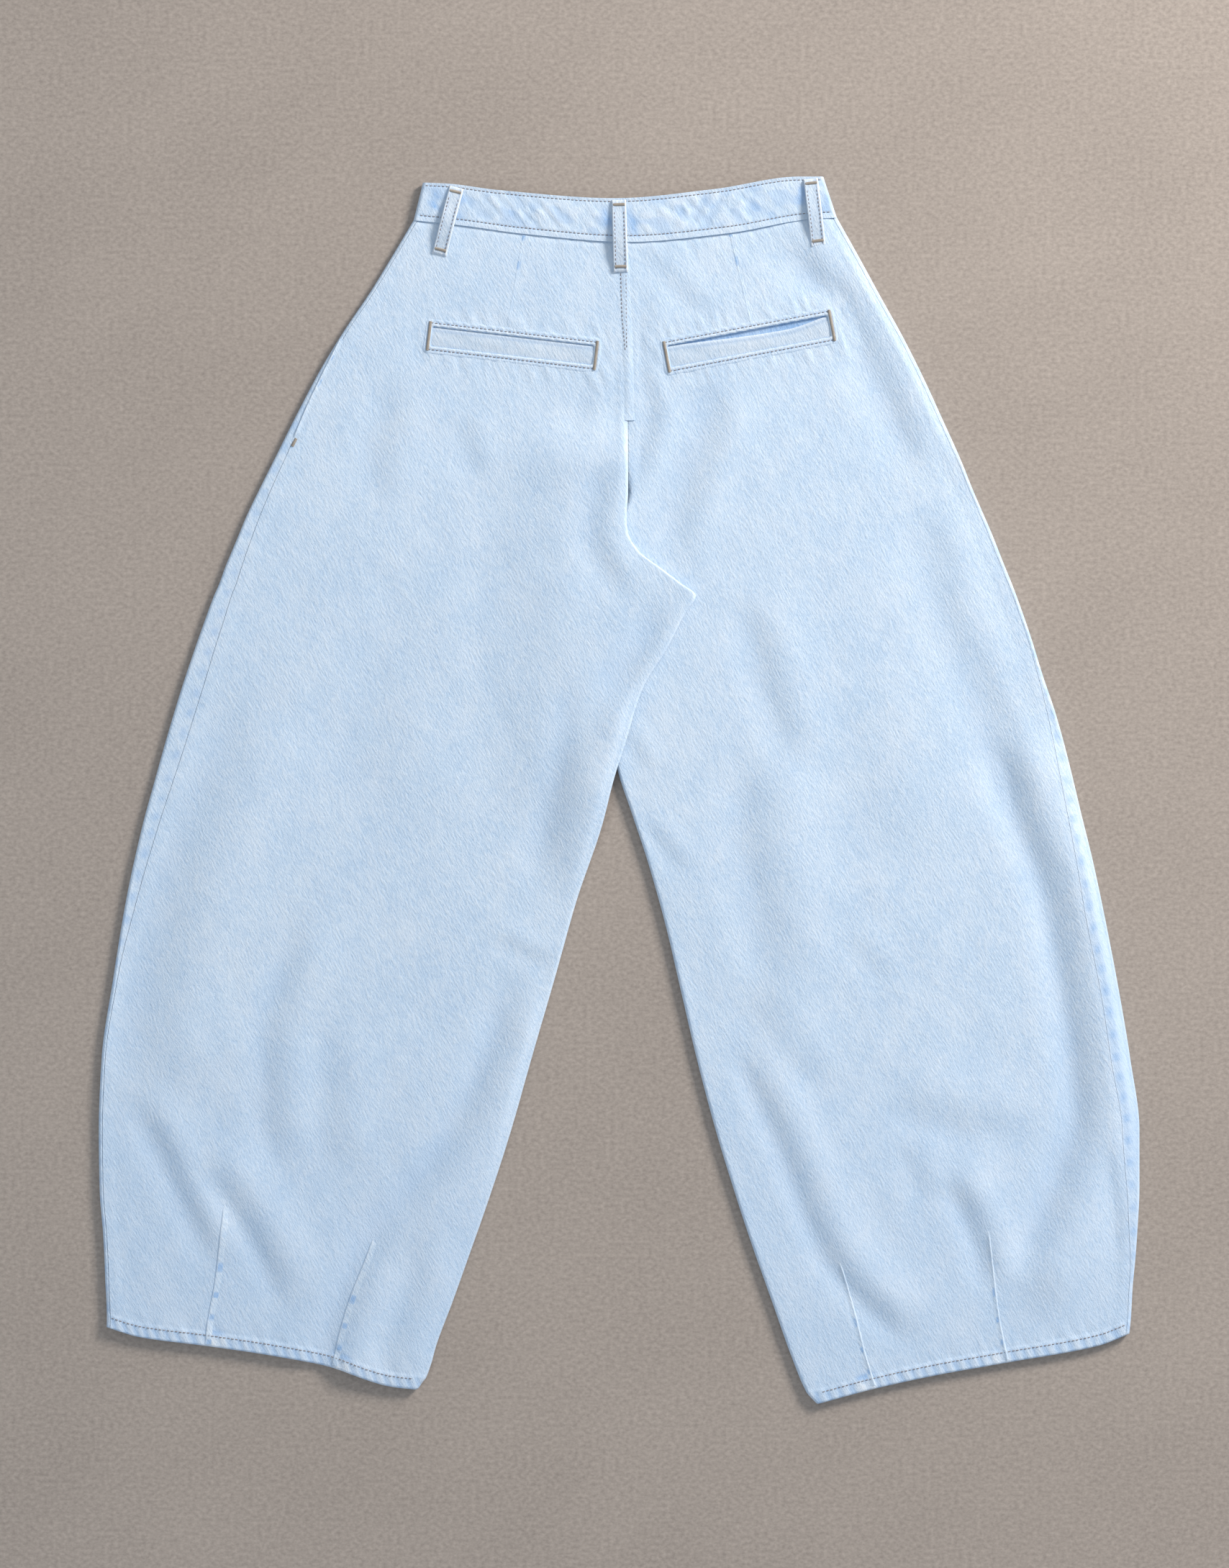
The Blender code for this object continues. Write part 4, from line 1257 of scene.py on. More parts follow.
    def wear_and_painted_light(self, surface: np.ndarray) -> dict[str, np.ndarray]:
        """Work out where the cloth is rubbed pale, where it keeps its blue, and where light and shade are
        painted.

        It is pale along the side seam's fold and on the hem's puckers, and bluer in uneven
        blotches on the side seam, between the puckers and down the leg. Paler on the crests of
        folds is painted highlight, and bluer in troughs is painted shade. Where a dart is sewn
        into the hem, its folded cloth leaves a bluer patch above the hem's stitches and a paler one on the
        hem.
        """
        x = surface[..., 0]
        y = surface[..., 1]
        seam = near_line(self.seam_line, x, y)
        uneven = self.swells.read(x * 2.0, y * 2.0)
        phase = np.sin(2.0 * np.pi * seam.along / self.blotch_pitch + uneven * 5.0)
        below_waist = smooth((430.0 - y) / 120.0)
        outward = -self.inward * seam.side
        blotch = smooth((phase + uneven) / 0.9) * bell(outward - 4.5, 3.2)
        edge = bell(seam.away - 0.8, 1.1)
        relief = self.relief(x, y)
        above_hem = y - line_height(self.hem, x)
        roping = self.roping(x, y)
        hem = 1.0 - smooth((above_hem - 8.5) / 4.0)
        # The term on positive relief, paler on fold crests, is painted highlight.
        worn = 0.12 * edge + 0.10 * smooth(relief / 4.0) + 0.42 * hem * smooth(roping)
        deep = 0.42 * blotch * below_waist + 0.40 * hem * smooth(-roping)
        # The term on negative relief, bluer in fold troughs, is painted shade; the last term is bluer
        # towards the hem.
        deep += 0.10 * smooth(-relief / 2.5) + 0.10 * smooth((-120.0 - y) / 300.0)
        if self.side is Side.RIGHT:
            strip = smooth((outward + 1.0) / 4.0) * smooth((0.0 - y) / 160.0) * smooth((y + 350.0) / 60.0)
            deep += 0.22 * strip
        for name, points in HEM_DARTS.items():
            if name.startswith(self.side.value):
                beside = (x - points[-1][0]) * self.inward - 8.0
                patch = bell(beside, 8.5, 4)
                deep += 0.55 * patch * bell(above_hem - 12.5, 3.2) * (0.7 + 2.0 * uneven)
                worn += 0.55 * patch * bell(above_hem - 4.0, 4.6, 4)
                deep -= 0.3 * patch * hem
        return {"worn": np.clip(worn, 0.0, 1.0), "deep": np.clip(deep, 0.0, 1.0)}

    def build(self, finishes: Finishes) -> None:
        """Make the two panels of the leg."""
        name = self.side.value
        outer, inner = self.front_surfaces()
        values = {label: np.stack([numbers, 0.0 * numbers]) for label, numbers in self.wear_and_painted_light(outer).items()}
        front = add_piece("front_panel_" + name, wall_of(outer, inner), finishes.denim, values)
        dress(front, "denim", "front_" + name)
        outer, inner = self.back_surfaces()
        values = {label: np.stack([numbers, 0.0 * numbers]) for label, numbers in self.wear_and_painted_light(outer).items()}
        parts = wall_of(outer, inner, self.holes(outer))
        back = add_piece("back_panel_" + name, parts, finishes.denim, values)
        dress(back, "denim", "back_" + name)


@dataclass
class Stitching:
    """Rows of lockstitch, each stitch a small capsule whose ends dive into the cloth."""

    stitch: float = 2.7
    space: float = 0.8
    radius: float = 0.42
    sides: int = 6

    def row(self, points: Sequence[tuple[float, float]], ground: Ground, lift: float = 0.1) -> MeshParts:
        """Sew one row of stitches along a line.

        A stitch's rings lie at set shares of its length, thin at both ends, and its middle
        line rises over the cloth as one less the fourth power of the share.

        Args:
            points: The places that the row runs through.
            ground: The height of the cloth at any place.
            lift: How far the stitches' middles stand above the cloth.

        Returns:
            The row as one mesh.
        """
        line = curve_through(points, self.stitch + self.space)
        middle = (line[1:] + line[:-1]) / 2
        forward = np.diff(line, axis=0)
        forward = forward / np.linalg.norm(forward, axis=1, keepdims=True)
        across = np.stack([-forward[:, 1], forward[:, 0]], axis=1)
        share = np.array([-1.0, -0.72, 0.0, 0.72, 1.0])
        thin = np.array([0.35, 0.9, 1.0, 0.9, 0.35]) * self.radius
        angle = np.linspace(0.0, 2.0 * np.pi, self.sides, endpoint=False)
        base = middle[:, None, :] + forward[:, None, :] * (share * self.stitch / 2)[None, :, None]
        height = ground(base[..., 0], base[..., 1]) + lift - 0.45 * (share**4)[None, :]
        spread = (thin[:, None] * np.cos(angle))[None, :, :, None]
        flat = base[:, :, None, :] + across[:, None, None, :] * spread
        up = height[:, :, None] + (thin[:, None] * np.sin(angle))[None]
        rings = np.concatenate([flat, up[..., None]], axis=-1)
        return stacked_tubes(rings)


def stacked_tubes(rings: np.ndarray) -> MeshParts:
    """Join many tubes of the same make, given as tube, ring, side and place."""
    tubes, count, sides = rings.shape[:3]
    one = tube_of(rings[0])
    faces: list[tuple[int, ...]] = []
    for corners in {len(face) for face in one.faces}:
        same = np.array([face for face in one.faces if len(face) == corners])
        shifted = same[None] + (np.arange(tubes) * count * sides)[:, None, None]
        faces.extend(shifted.reshape(-1, corners).tolist())
    return MeshParts(rings.reshape(-1, 3), faces)


@dataclass
class BarTack:
    """A bar tack: close threads laid across a short bar."""

    width: float = 2.6
    pitch: float = 0.62
    radius: float = 0.4
    sides: int = 6

    def bar(self, start: tuple[float, float], end: tuple[float, float], ground: Ground) -> MeshParts:
        """Lay the threads of one tack side by side between two places."""
        first = np.asarray(start, float)
        last = np.asarray(end, float)
        length = float(np.hypot(*(last - first)))
        count = max(3, int(length / self.pitch))
        forward = (last - first) / length
        across = np.array([-forward[1], forward[0]])
        middle = first + (last - first) * ((np.arange(count) + 0.5) / count)[:, None]
        share = np.array([-1.0, -0.6, 0.0, 0.6, 1.0])
        thin = np.array([0.5, 0.95, 1.0, 0.95, 0.5]) * self.radius
        angle = np.linspace(0.0, 2.0 * np.pi, self.sides, endpoint=False)
        base = middle[:, None, :] + across * (share * self.width / 2)[None, :, None]
        height = ground(base[..., 0], base[..., 1]) + 0.45 - 0.5 * (share**2)[None, :]
        flat = base[:, :, None, :] + forward * (thin[:, None] * np.cos(angle))[None, :, :, None]
        up = height[:, :, None] + (thin[:, None] * np.sin(angle))[None]
        return stacked_tubes(np.concatenate([flat, up[..., None]], axis=-1))


@dataclass
class SeamRidge:
    """A narrow fold sewn into the cloth: a strip with a raised profile that blends into it.

    across and height are the profile's places, in millimetres from the line, and its heights
    above the cloth. Beyond the profile the strip dips just under the cloth.
    """

    across: tuple[float, ...]
    height: tuple[float, ...]
    taper: float = 9.0
    sink: float = 0.9
    pitch: float = 1.6

    def strip(self, points: Sequence[tuple[float, float]], ground: Ground) -> tuple[MeshParts, np.ndarray]:
        """Lay the strip along a line, fading in from its first point.

        Args:
            points: The places that the line runs through.
            ground: The height of the cloth at any place.

        Returns:
            The closed strip, and how high its profile stands at each of its points.
        """
        line = curve_through(points, self.pitch)
        sideways = sideways_of(line)
        places = np.concatenate([self.across, [self.across[-1], self.across[0]]])
        raised = np.concatenate([self.height, [-self.sink, -self.sink]])
        share = np.arange(len(line)) * self.pitch
        fade = smooth(share / self.taper)[:, None]
        flat = line[:, None, :] + sideways[:, None, :] * places[None, :, None]
        level = np.where(raised[None] > 0, raised[None] * fade, raised[None])
        z = ground(flat[..., 0], flat[..., 1]) + level - 0.1 * (1.0 - fade)
        rings = np.concatenate([flat, z[..., None]], axis=-1)
        return tube_of(rings), np.broadcast_to(raised[None], z.shape)


@dataclass
class BackPocket:
    """A single-welt pocket: its raised frame, its welt, its stitching and its two tacks."""

    pocket: Pocket
    leg: Leg
    corner: float = 1.6
    rise: float = 0.8
    welt_sunk: float = 0.7

    def outline(self, margin: float, steps: int = 8) -> np.ndarray:
        """Walk round the mouth, a margin outside it, with round corners."""
        half_length = MOUTH_LENGTH / 2 + margin
        half_depth = self.pocket.depth / 2 + margin
        bend = self.corner + max(margin, 0.0) * 0.5
        places = []
        for sign_x, sign_y, first in ((1, 1, 0.0), (-1, 1, 0.5), (-1, -1, 1.0), (1, -1, 1.5)):
            angle = (first + np.linspace(0.0, 0.5, steps)) * np.pi
            centre_x = sign_x * (half_length - bend)
            centre_y = sign_y * (half_depth - bend)
            corner = [centre_x + bend * np.cos(angle), centre_y + bend * np.sin(angle)]
            places.append(np.stack(corner, axis=1))
        corners = np.concatenate(places)
        closed = np.concatenate([corners, corners[:1]])
        length = np.concatenate([[0.0], np.cumsum(np.hypot(*np.diff(closed, axis=0).T))])
        even = np.linspace(0.0, length[-1], 240, endpoint=False)
        return np.stack([np.interp(even, length, closed[:, axis]) for axis in (0, 1)], axis=1)

    def over(self, share: float) -> Ground:
        """Read heights over the panel round the mouth, by a share of the frame's rise."""
        return lambda x, y: self.leg.ground(x, y) + share * self.rise

    def frame(self, finishes: Finishes) -> None:
        """Make the frame: the panel's edge turned in round the mouth and stitched down.

        Its profile drops into the mouth at the inner edge, crests, dips along the stitching
        and comes down to the panel outside. The wall down into the mouth gets painted shade.
        """
        rings = []
        worn = []
        deep = []
        for margin, height, pale, dark in FRAME_RINGS:
            outline = self.outline(margin)
            x, y = pocket_place(self.pocket, outline[:, 0], outline[:, 1])
            ripple = 0.12 * np.sin(2.0 * np.pi * outline[:, 0] / 7.7 + margin)
            z = self.over(height)(x, y) + (ripple if height > 0 else 0.0)
            rings.append(np.stack([x, y, z], axis=-1))
            worn.append(np.full(len(x), pale))
            # A ring's blue goes into deep; on the wall into the mouth it is painted shade.
            deep.append(dark * (0.5 + 0.5 * np.sin(2.0 * np.pi * outline[:, 0] / 9.0 + margin)))
        parts = tube_of(np.stack(rings, axis=1), closed=True)
        values = {"worn": np.stack(worn, axis=1), "deep": np.stack(deep, axis=1)}
        frame_piece = add_piece("pocket_frame_" + self.pocket.name, parts, finishes.denim, values)
        dress(frame_piece, "denim_trim")

    def welt(self, finishes: Finishes) -> None:
        """Make the welt: a folded strip whose upper edge drops where the mouth gapes."""
        rows, columns = 16, 110
        part = np.linspace(0.0, 1.0, columns)[None, :]
        up = np.linspace(0.0, 1.0, rows)[:, None]
        along = (part * 2.0 - 1.0) * (MOUTH_LENGTH / 2 + 1.2)
        dropped = self.pocket.gape * spline([0.0, GAPE_PLACE, 1.0], [0.0, 1.0, 0.0], part)
        low = -self.pocket.depth / 2 - 1.2
        high = self.pocket.depth / 2 + (-0.4 if self.pocket.gape == 0 else -0.6) - dropped
        across = low + (high - low) * up
        x, y = pocket_place(self.pocket, *np.broadcast_arrays(along, across))
        fold = 1.0 - np.clip((high - across) / 1.1, 0.0, 1.0)
        rounded = 0.9 * (1.0 - np.sqrt(np.maximum(1.0 - fold**2, 0.0)))
        waves = Crinkle(31, 16.0, 7.0, 0.3).read(along + 0.0 * across, across + 0.0 * along)
        belly = 0.35 * np.sin(np.pi * up)
        top = LEG_HEIGHT - self.welt_sunk + belly + waves * np.sin(np.pi * up) - rounded
        outer = np.stack([x, y, top + 0.0 * x], axis=-1)
        inner = np.stack([x, y, np.full(x.shape, LEG_HEIGHT - self.welt_sunk - WALL)], axis=-1)
        worn = 0.35 * bell(high - across, 1.0) + 0.0 * x
        deep = 0.5 * bell(across - low, 2.2) + 0.35 * bell(high - across - 3.4, 1.2)
        deep = deep + 0.0 * x
        values = {"worn": np.stack([worn, 0.0 * worn]), "deep": np.stack([deep, 0.0 * deep])}
        name = "pocket_welt_cloth_" + self.pocket.name
        welt = add_piece(name, wall_of(outer, inner), finishes.trim, values)
        dress(welt, "denim_trim", "pocket_welt_" + self.pocket.name)

    def stitches(self, sewing: Stitching) -> list[MeshParts]:
        """Sew one row along each long edge of the frame."""
        rows = []
        for sign in (1, -1):
            along = np.linspace(-1.0, 1.0, 9) * (MOUTH_LENGTH / 2 + 2.0)
            across = np.full(9, sign * (self.pocket.depth / 2 + 2.5))
            x, y = pocket_place(self.pocket, along, across)
            rows.append(sewing.row(list(zip(x, y)), self.over(0.25)))
        return rows

    def tacks(self, tack: BarTack) -> list[MeshParts]:
        """Sew a bar tack across each end of the mouth."""
        bars = []
        for sign in (1, -1):
            reach = np.array([-1.0, 1.0]) * (self.pocket.depth / 2 + 3.6)
            x, y = pocket_place(self.pocket, np.full(2, sign * (MOUTH_LENGTH / 2 + 1.8)), reach)
            bars.append(tack.bar((x[0], y[0]), (x[1], y[1]), self.over(0.7)))
        return bars

    def facing(self, finishes: Finishes) -> None:
        """Give the facing behind the mouth its darker denim."""
        node = bpy.data.objects["pocket_facing_" + self.pocket.name]
        node.data.materials.clear()
        node.data.materials.append(finishes.pocketing)


@dataclass
class Waistband:
    """The contoured waistband: a folded band whose back piece rolls round both ends."""

    columns: int = 300
    rows: int = 46
    height: float = 36.0
    groove: float = 0.3
    stitch_rows: tuple[float, float] = (5.0, 33.2)

    def width_at(self, up: np.ndarray) -> np.ndarray:
        """Read how wide the flat band is, from its seam to its top edge."""
        low = WAIST_SEAM[-1][0] - WAIST_SEAM[0][0]
        high = WAIST_TOP[-1][0] - WAIST_TOP[0][0]
        return low + (high - low) * up

    def relief(self, x: np.ndarray, up: np.ndarray) -> np.ndarray:
        """Read the band's puckers and its two stitched grooves.

        The puckers slant, stand highest half way up, and come and go along the band.
        """
        y = up * self.height
        gathered = 0.45 + 0.75 * (bell(x + 84, 34) + bell(x - 66, 36))
        between = np.sin(np.pi * np.clip(up, 0.0, 1.0)) ** 0.7
        puckers = Crinkle(21, 6.5, 12.0, 0.42, 0.9).read(x, y) + Crinkle(22, 3.6, 9.0, 0.2, 0.5).read(x, y)
        puckers = puckers + Crinkle(25, 7.5, 11.0, 0.42, -0.7).read(x, y)
        height = between * gathered * puckers + Crinkle(23, 24.0, 18.0, 0.3, 0.3).read(x, y) * between
        for place in self.stitch_rows:
            height -= self.groove * bell(y - place, 0.8)
        return height

    def top(self, x: np.ndarray, y: np.ndarray) -> np.ndarray:
        """Read the height of the back band's outer side at a place."""
        seam = line_height(WAIST_SEAM, x)
        up = (y - seam) / (line_height(WAIST_TOP, x) - seam)
        return BAND_HEIGHT + self.relief(x, up)

    def section(self) -> tuple[np.ndarray, np.ndarray, np.ndarray]:
        """Walk round the band's cross-section.

        Returns:
            The share of the band's height, the depth below its outer side, and whether a
            point is on the outer side. Both edges are half circles.
        """
        radius = BAND_WALL / 2
        height = self.height
        turn = np.linspace(0.0, np.pi / 2, 5)
        edge = radius - radius * np.sin(turn)
        down = radius - radius * np.cos(turn)
        flat = np.linspace(radius, height - radius, self.rows)[1:-1]
        place = np.concatenate([edge, flat, height - edge[::-1]])
        depth = np.concatenate([down[::-1], np.zeros(len(flat)), down])
        rough = np.linspace(radius, height - radius, 9)[1:-1]
        back = np.concatenate([height - edge, rough[::-1], edge[::-1]])
        back_depth = BAND_WALL - np.concatenate([down[::-1], np.zeros(len(rough)), down])
        outside = np.concatenate([np.ones(len(place)), np.zeros(len(back) - 2)])
        return (
            np.concatenate([place, back[1:-1]]) / height,
            np.concatenate([depth, back_depth[1:-1]]),
            outside,
        )

    def back(self, finishes: Finishes) -> None:
        """Make the back piece, which turns down and under at both ends."""
        radius = BAND_HEIGHT / 2
        turn = np.linspace(-FRONT_TURN, np.pi / 2, 12)
        end_in = radius - radius * np.cos(turn)
        end_up = radius + radius * np.sin(turn)
        up, depth, outside = self.section()
        width = self.width_at(up)[None, :]
        part = np.linspace(0.0, 1.0, self.columns)[1:-1, None]
        one = np.ones((1, len(up)))
        inside = np.concatenate(
            [end_in[:, None] * one, radius + (width - 2 * radius) * part, width - end_in[::-1, None]]
        )
        normal_in = np.concatenate([-np.cos(turn), np.zeros(len(part)), np.cos(turn)[::-1]])[:, None]
        normal_up = np.concatenate([np.sin(turn), np.ones(len(part)), np.sin(turn)[::-1]])[:, None]
        level = np.concatenate([end_up, np.full(len(part), BAND_HEIGHT), end_up[::-1]])[:, None]
        low_x = WAIST_SEAM[0][0] + (WAIST_TOP[0][0] - WAIST_SEAM[0][0]) * up[None, :]
        x = low_x + inside
        seam = line_height(WAIST_SEAM, x) + SEAM_GAP - 0.6
        y = seam + (line_height(WAIST_TOP, x) - seam) * up[None, :]
        rise = self.relief(x, np.broadcast_to(up[None, :], x.shape)) * outside[None, :]
        rise = rise * smooth(inside / 6.0) * smooth((width - inside) / 6.0) - depth[None, :]
        rings = np.stack([x + normal_in * rise, y, level + normal_up * rise], axis=-1)
        band_y = up[None, :] * self.height
        phase = Crinkle(24, 9.0, 8.0, 1.0, 0.5).read(x, band_y)
        lower, upper = self.stitch_rows
        edges = bell(band_y - lower + 3.0, 1.5) + bell(band_y - upper - 1.6, 0.9)
        worn = np.clip(0.25 * edges + 0.4 * smooth(rise / 0.4), 0.0, 1.0) * outside[None, :]
        deep = 0.32 * smooth((phase - 0.1) / 0.5) * np.sin(np.pi * up[None, :]) ** 0.4
        deep = deep + 0.25 * smooth(-rise / 0.4)
        for loop in LOOPS:
            middle_x = (loop.top_x + loop.low_x) / 2
            near = bell(np.abs(x - middle_x) - 11.0, 4.5)
            deep = deep + 0.5 * near * np.sin(np.pi * up[None, :]) * smooth((phase + 0.6) / 0.8)
        values = {"worn": worn, "deep": np.clip(deep * outside[None, :], 0.0, 0.8)}
        band = add_piece("waistband_cloth_back", tube_of(rings), finishes.denim, values)
        dress(band, "denim", "waistband_back")
        float(width.max() + 2 * radius * FRONT_TURN) * MM

    def front(self, side: Side, finishes: Finishes) -> None:
        """Make one of the two front pieces, which lie on the floor under the back one."""
        radius = BAND_HEIGHT / 2
        lap_end = CENTRE_SEAM_X + 18.0 + (-SEAM_GAP / 2 if side is Side.LEFT else SEAM_GAP / 2)
        up, depth, outside = self.section()
        width = self.width_at(up)[None, :]
        low_x = WAIST_SEAM[0][0] + (WAIST_TOP[0][0] - WAIST_SEAM[0][0]) * up[None, :]
        reach = lap_end - low_x
        gap = 2.0 * SEAM_GAP / radius
        turn = np.linspace(-FRONT_TURN - gap, -np.pi / 2, 6)
        end_in = (radius - radius * np.cos(turn))[:, None] * np.ones((1, len(up)))
        part = np.linspace(0.0, 1.0, 90)[1:, None]
        if side is Side.LEFT:
            inside = np.concatenate([end_in, radius + (reach - radius) * part])
        else:
            inside = np.concatenate([width - end_in, width - radius - (width - radius - reach) * part])
        sign = 1.0 if side is Side.LEFT else -1.0
        normal_in = np.concatenate([-sign * np.cos(turn), np.zeros(len(part))])[:, None]
        normal_up = np.concatenate([np.sin(turn), -np.ones(len(part))])[:, None]
        level = np.concatenate([radius + radius * np.sin(turn), np.zeros(len(part))])[:, None]
        x = low_x + inside
        seam = line_height(WAIST_SEAM, x) + SEAM_GAP
        drop = 4.0 * smooth(inside / 60.0) * smooth((width - inside) / 60.0)
        y = seam + (line_height(WAIST_TOP, x) - drop - seam) * up[None, :]
        rings = np.stack([x - normal_in * depth[None, :], y, level - normal_up * depth[None, :]], axis=-1)
        worn = np.exp(-((np.minimum(up, 1.0 - up)[None, :] * self.height / 1.6) ** 2)) + 0.0 * x
        name = "waistband_cloth_front_" + side.value
        band = add_piece(name, tube_of(rings), finishes.denim, {"worn": 0.6 * worn, "deep": 0.0 * worn})
        dress(band, "denim", "waistband_front_" + side.value)

    def rows_of_stitches(self, sewing: Stitching) -> list[MeshParts]:
        """Sew the row below the top edge and the row above the seam."""
        rows = []
        for place in self.stitch_rows:
            share = place / self.height
            x = np.linspace(WAIST_SEAM[0][0] + 4.5 + 6.0 * share, WAIST_SEAM[-1][0] - 4.5 - 10.0 * share, 30)
            seam = line_height(WAIST_SEAM, x)
            y = seam + (line_height(WAIST_TOP, x) - seam) * share
            rows.append(sewing.row(list(zip(x, y)), self.top, 0.18))
        return rows


@dataclass
class BeltLoop:
    """A belt loop: a folded strip sewn down at both ends, bowing between them."""

    place: LoopPlace
    width: float = 12.5
    bow: float = 2.2
    climb: float = 20.0
    rows: int = 90

    def line(self) -> tuple[np.ndarray, np.ndarray, np.ndarray, float]:
        """Read the loop's middle line, its sideways direction, and its length."""
        part = np.linspace(0.0, 1.0, self.rows)
        low = np.array([self.place.low_x, self.place.low_y])
        top = np.array([self.place.top_x, self.place.top_y])
        length = float(np.hypot(*(top - low)))
        forward = (top - low) / length
        return part, low + (top - low) * part[:, None], np.array([forward[1], -forward[0]]), length

    def under(self, part: np.ndarray, length: float) -> np.ndarray:
        """Read the height of the loop's underside along it: a climb onto the band and a bow."""
        climb = (BAND_HEIGHT - LEG_HEIGHT) * smooth(part * length / self.climb)
        return LEG_HEIGHT + climb + SEAM_GAP + self.bow * np.sin(np.pi * part) ** 2

    def build(self, finishes: Finishes) -> None:
        """Make the strip: rounded long edges that stand up, over a slightly hollow face."""
        part, middle, sideways, length = self.line()
        half = self.width / 2
        half_across = np.array([1.7, 3.4, 4.3, 5.0, 5.7, 6.1, 6.25])
        half_face = np.array([-0.12, -0.1, 0.02, 0.25, 0.1, -0.3, -0.75])
        across = np.concatenate([-half_across[::-1], [0.0], half_across])
        face = np.concatenate([half_face[::-1], [-0.08], half_face])
        across = np.concatenate([across, [5.6, 0.0, -5.6]]) / 6.25 * half
        face = np.concatenate([face, [-TRIM_WALL, -TRIM_WALL, -TRIM_WALL]])
        worn = np.concatenate([0.7 * bell(np.abs(across[:15]) - 5.5, 0.7), np.zeros(3)])
        ends = 0.5 * (bell(part * length, 3.0) + bell((1 - part) * length, 3.0))
        waves = Crinkle(41, 5.0, 9.0, 0.18)
        spread = middle[:, None, :] + sideways * across[None, :, None]
        wobble = waves.read(spread[..., 0], spread[..., 1]) * (face > -1.0)
        drop = 1.1 * (1.0 - smooth(part * length / 1.6)) + 1.1 * (1.0 - smooth((1.0 - part) * length / 1.6))
        level = self.under(part, length)[:, None] + TRIM_WALL + face[None, :] + wobble
        level = level - drop[:, None] * (face > -1.0)
        rings = np.concatenate([spread, level[..., None]], axis=-1)
        pale = np.clip(worn[None, :] + ends[:, None] * (face > -1.0), 0.0, 1.0)
        deep = 0.4 * bell(np.abs(across) - 3.9, 0.7)[None, :] * (face > -1.0)
        values = {"worn": pale, "deep": deep + 0.0 * pale}
        loop = add_piece("belt_loop_cloth_" + self.place.name, tube_of(rings), finishes.trim, values, 60.0)
        dress(loop, "denim_trim", "belt_loop_" + self.place.name)

    def top(self, x: np.ndarray, y: np.ndarray) -> np.ndarray:
        """Read the height of the loop's face at a place."""
        _, middle, _, length = self.line()
        forward = (middle[-1] - middle[0]) / length
        part = ((x - middle[0, 0]) * forward[0] + (y - middle[0, 1]) * forward[1]) / length
        return self.under(np.clip(part, 0.0, 1.0), length) + TRIM_WALL

    def stitches(self, sewing: Stitching) -> list[MeshParts]:
        """Sew a row beside each long edge."""
        _, middle, sideways, _ = self.line()
        rows = []
        for sign in (1.0, -1.0):
            path = middle[3:-3:12] + sideways * sign * 4.1
            rows.append(sewing.row([tuple(point) for point in path], self.top, 0.0))
        return rows

    def tacks(self, tack: BarTack) -> list[MeshParts]:
        """Sew a bar tack across each end."""
        part, middle, sideways, length = self.line()
        bars = []
        for inset in (5.0, length - 4.0):
            centre = middle[int(round(inset / length * (self.rows - 1)))]
            start = centre - sideways * 5.0
            end = centre + sideways * 5.0
            bars.append(tack.bar(tuple(start), tuple(end), self.top))
        return bars


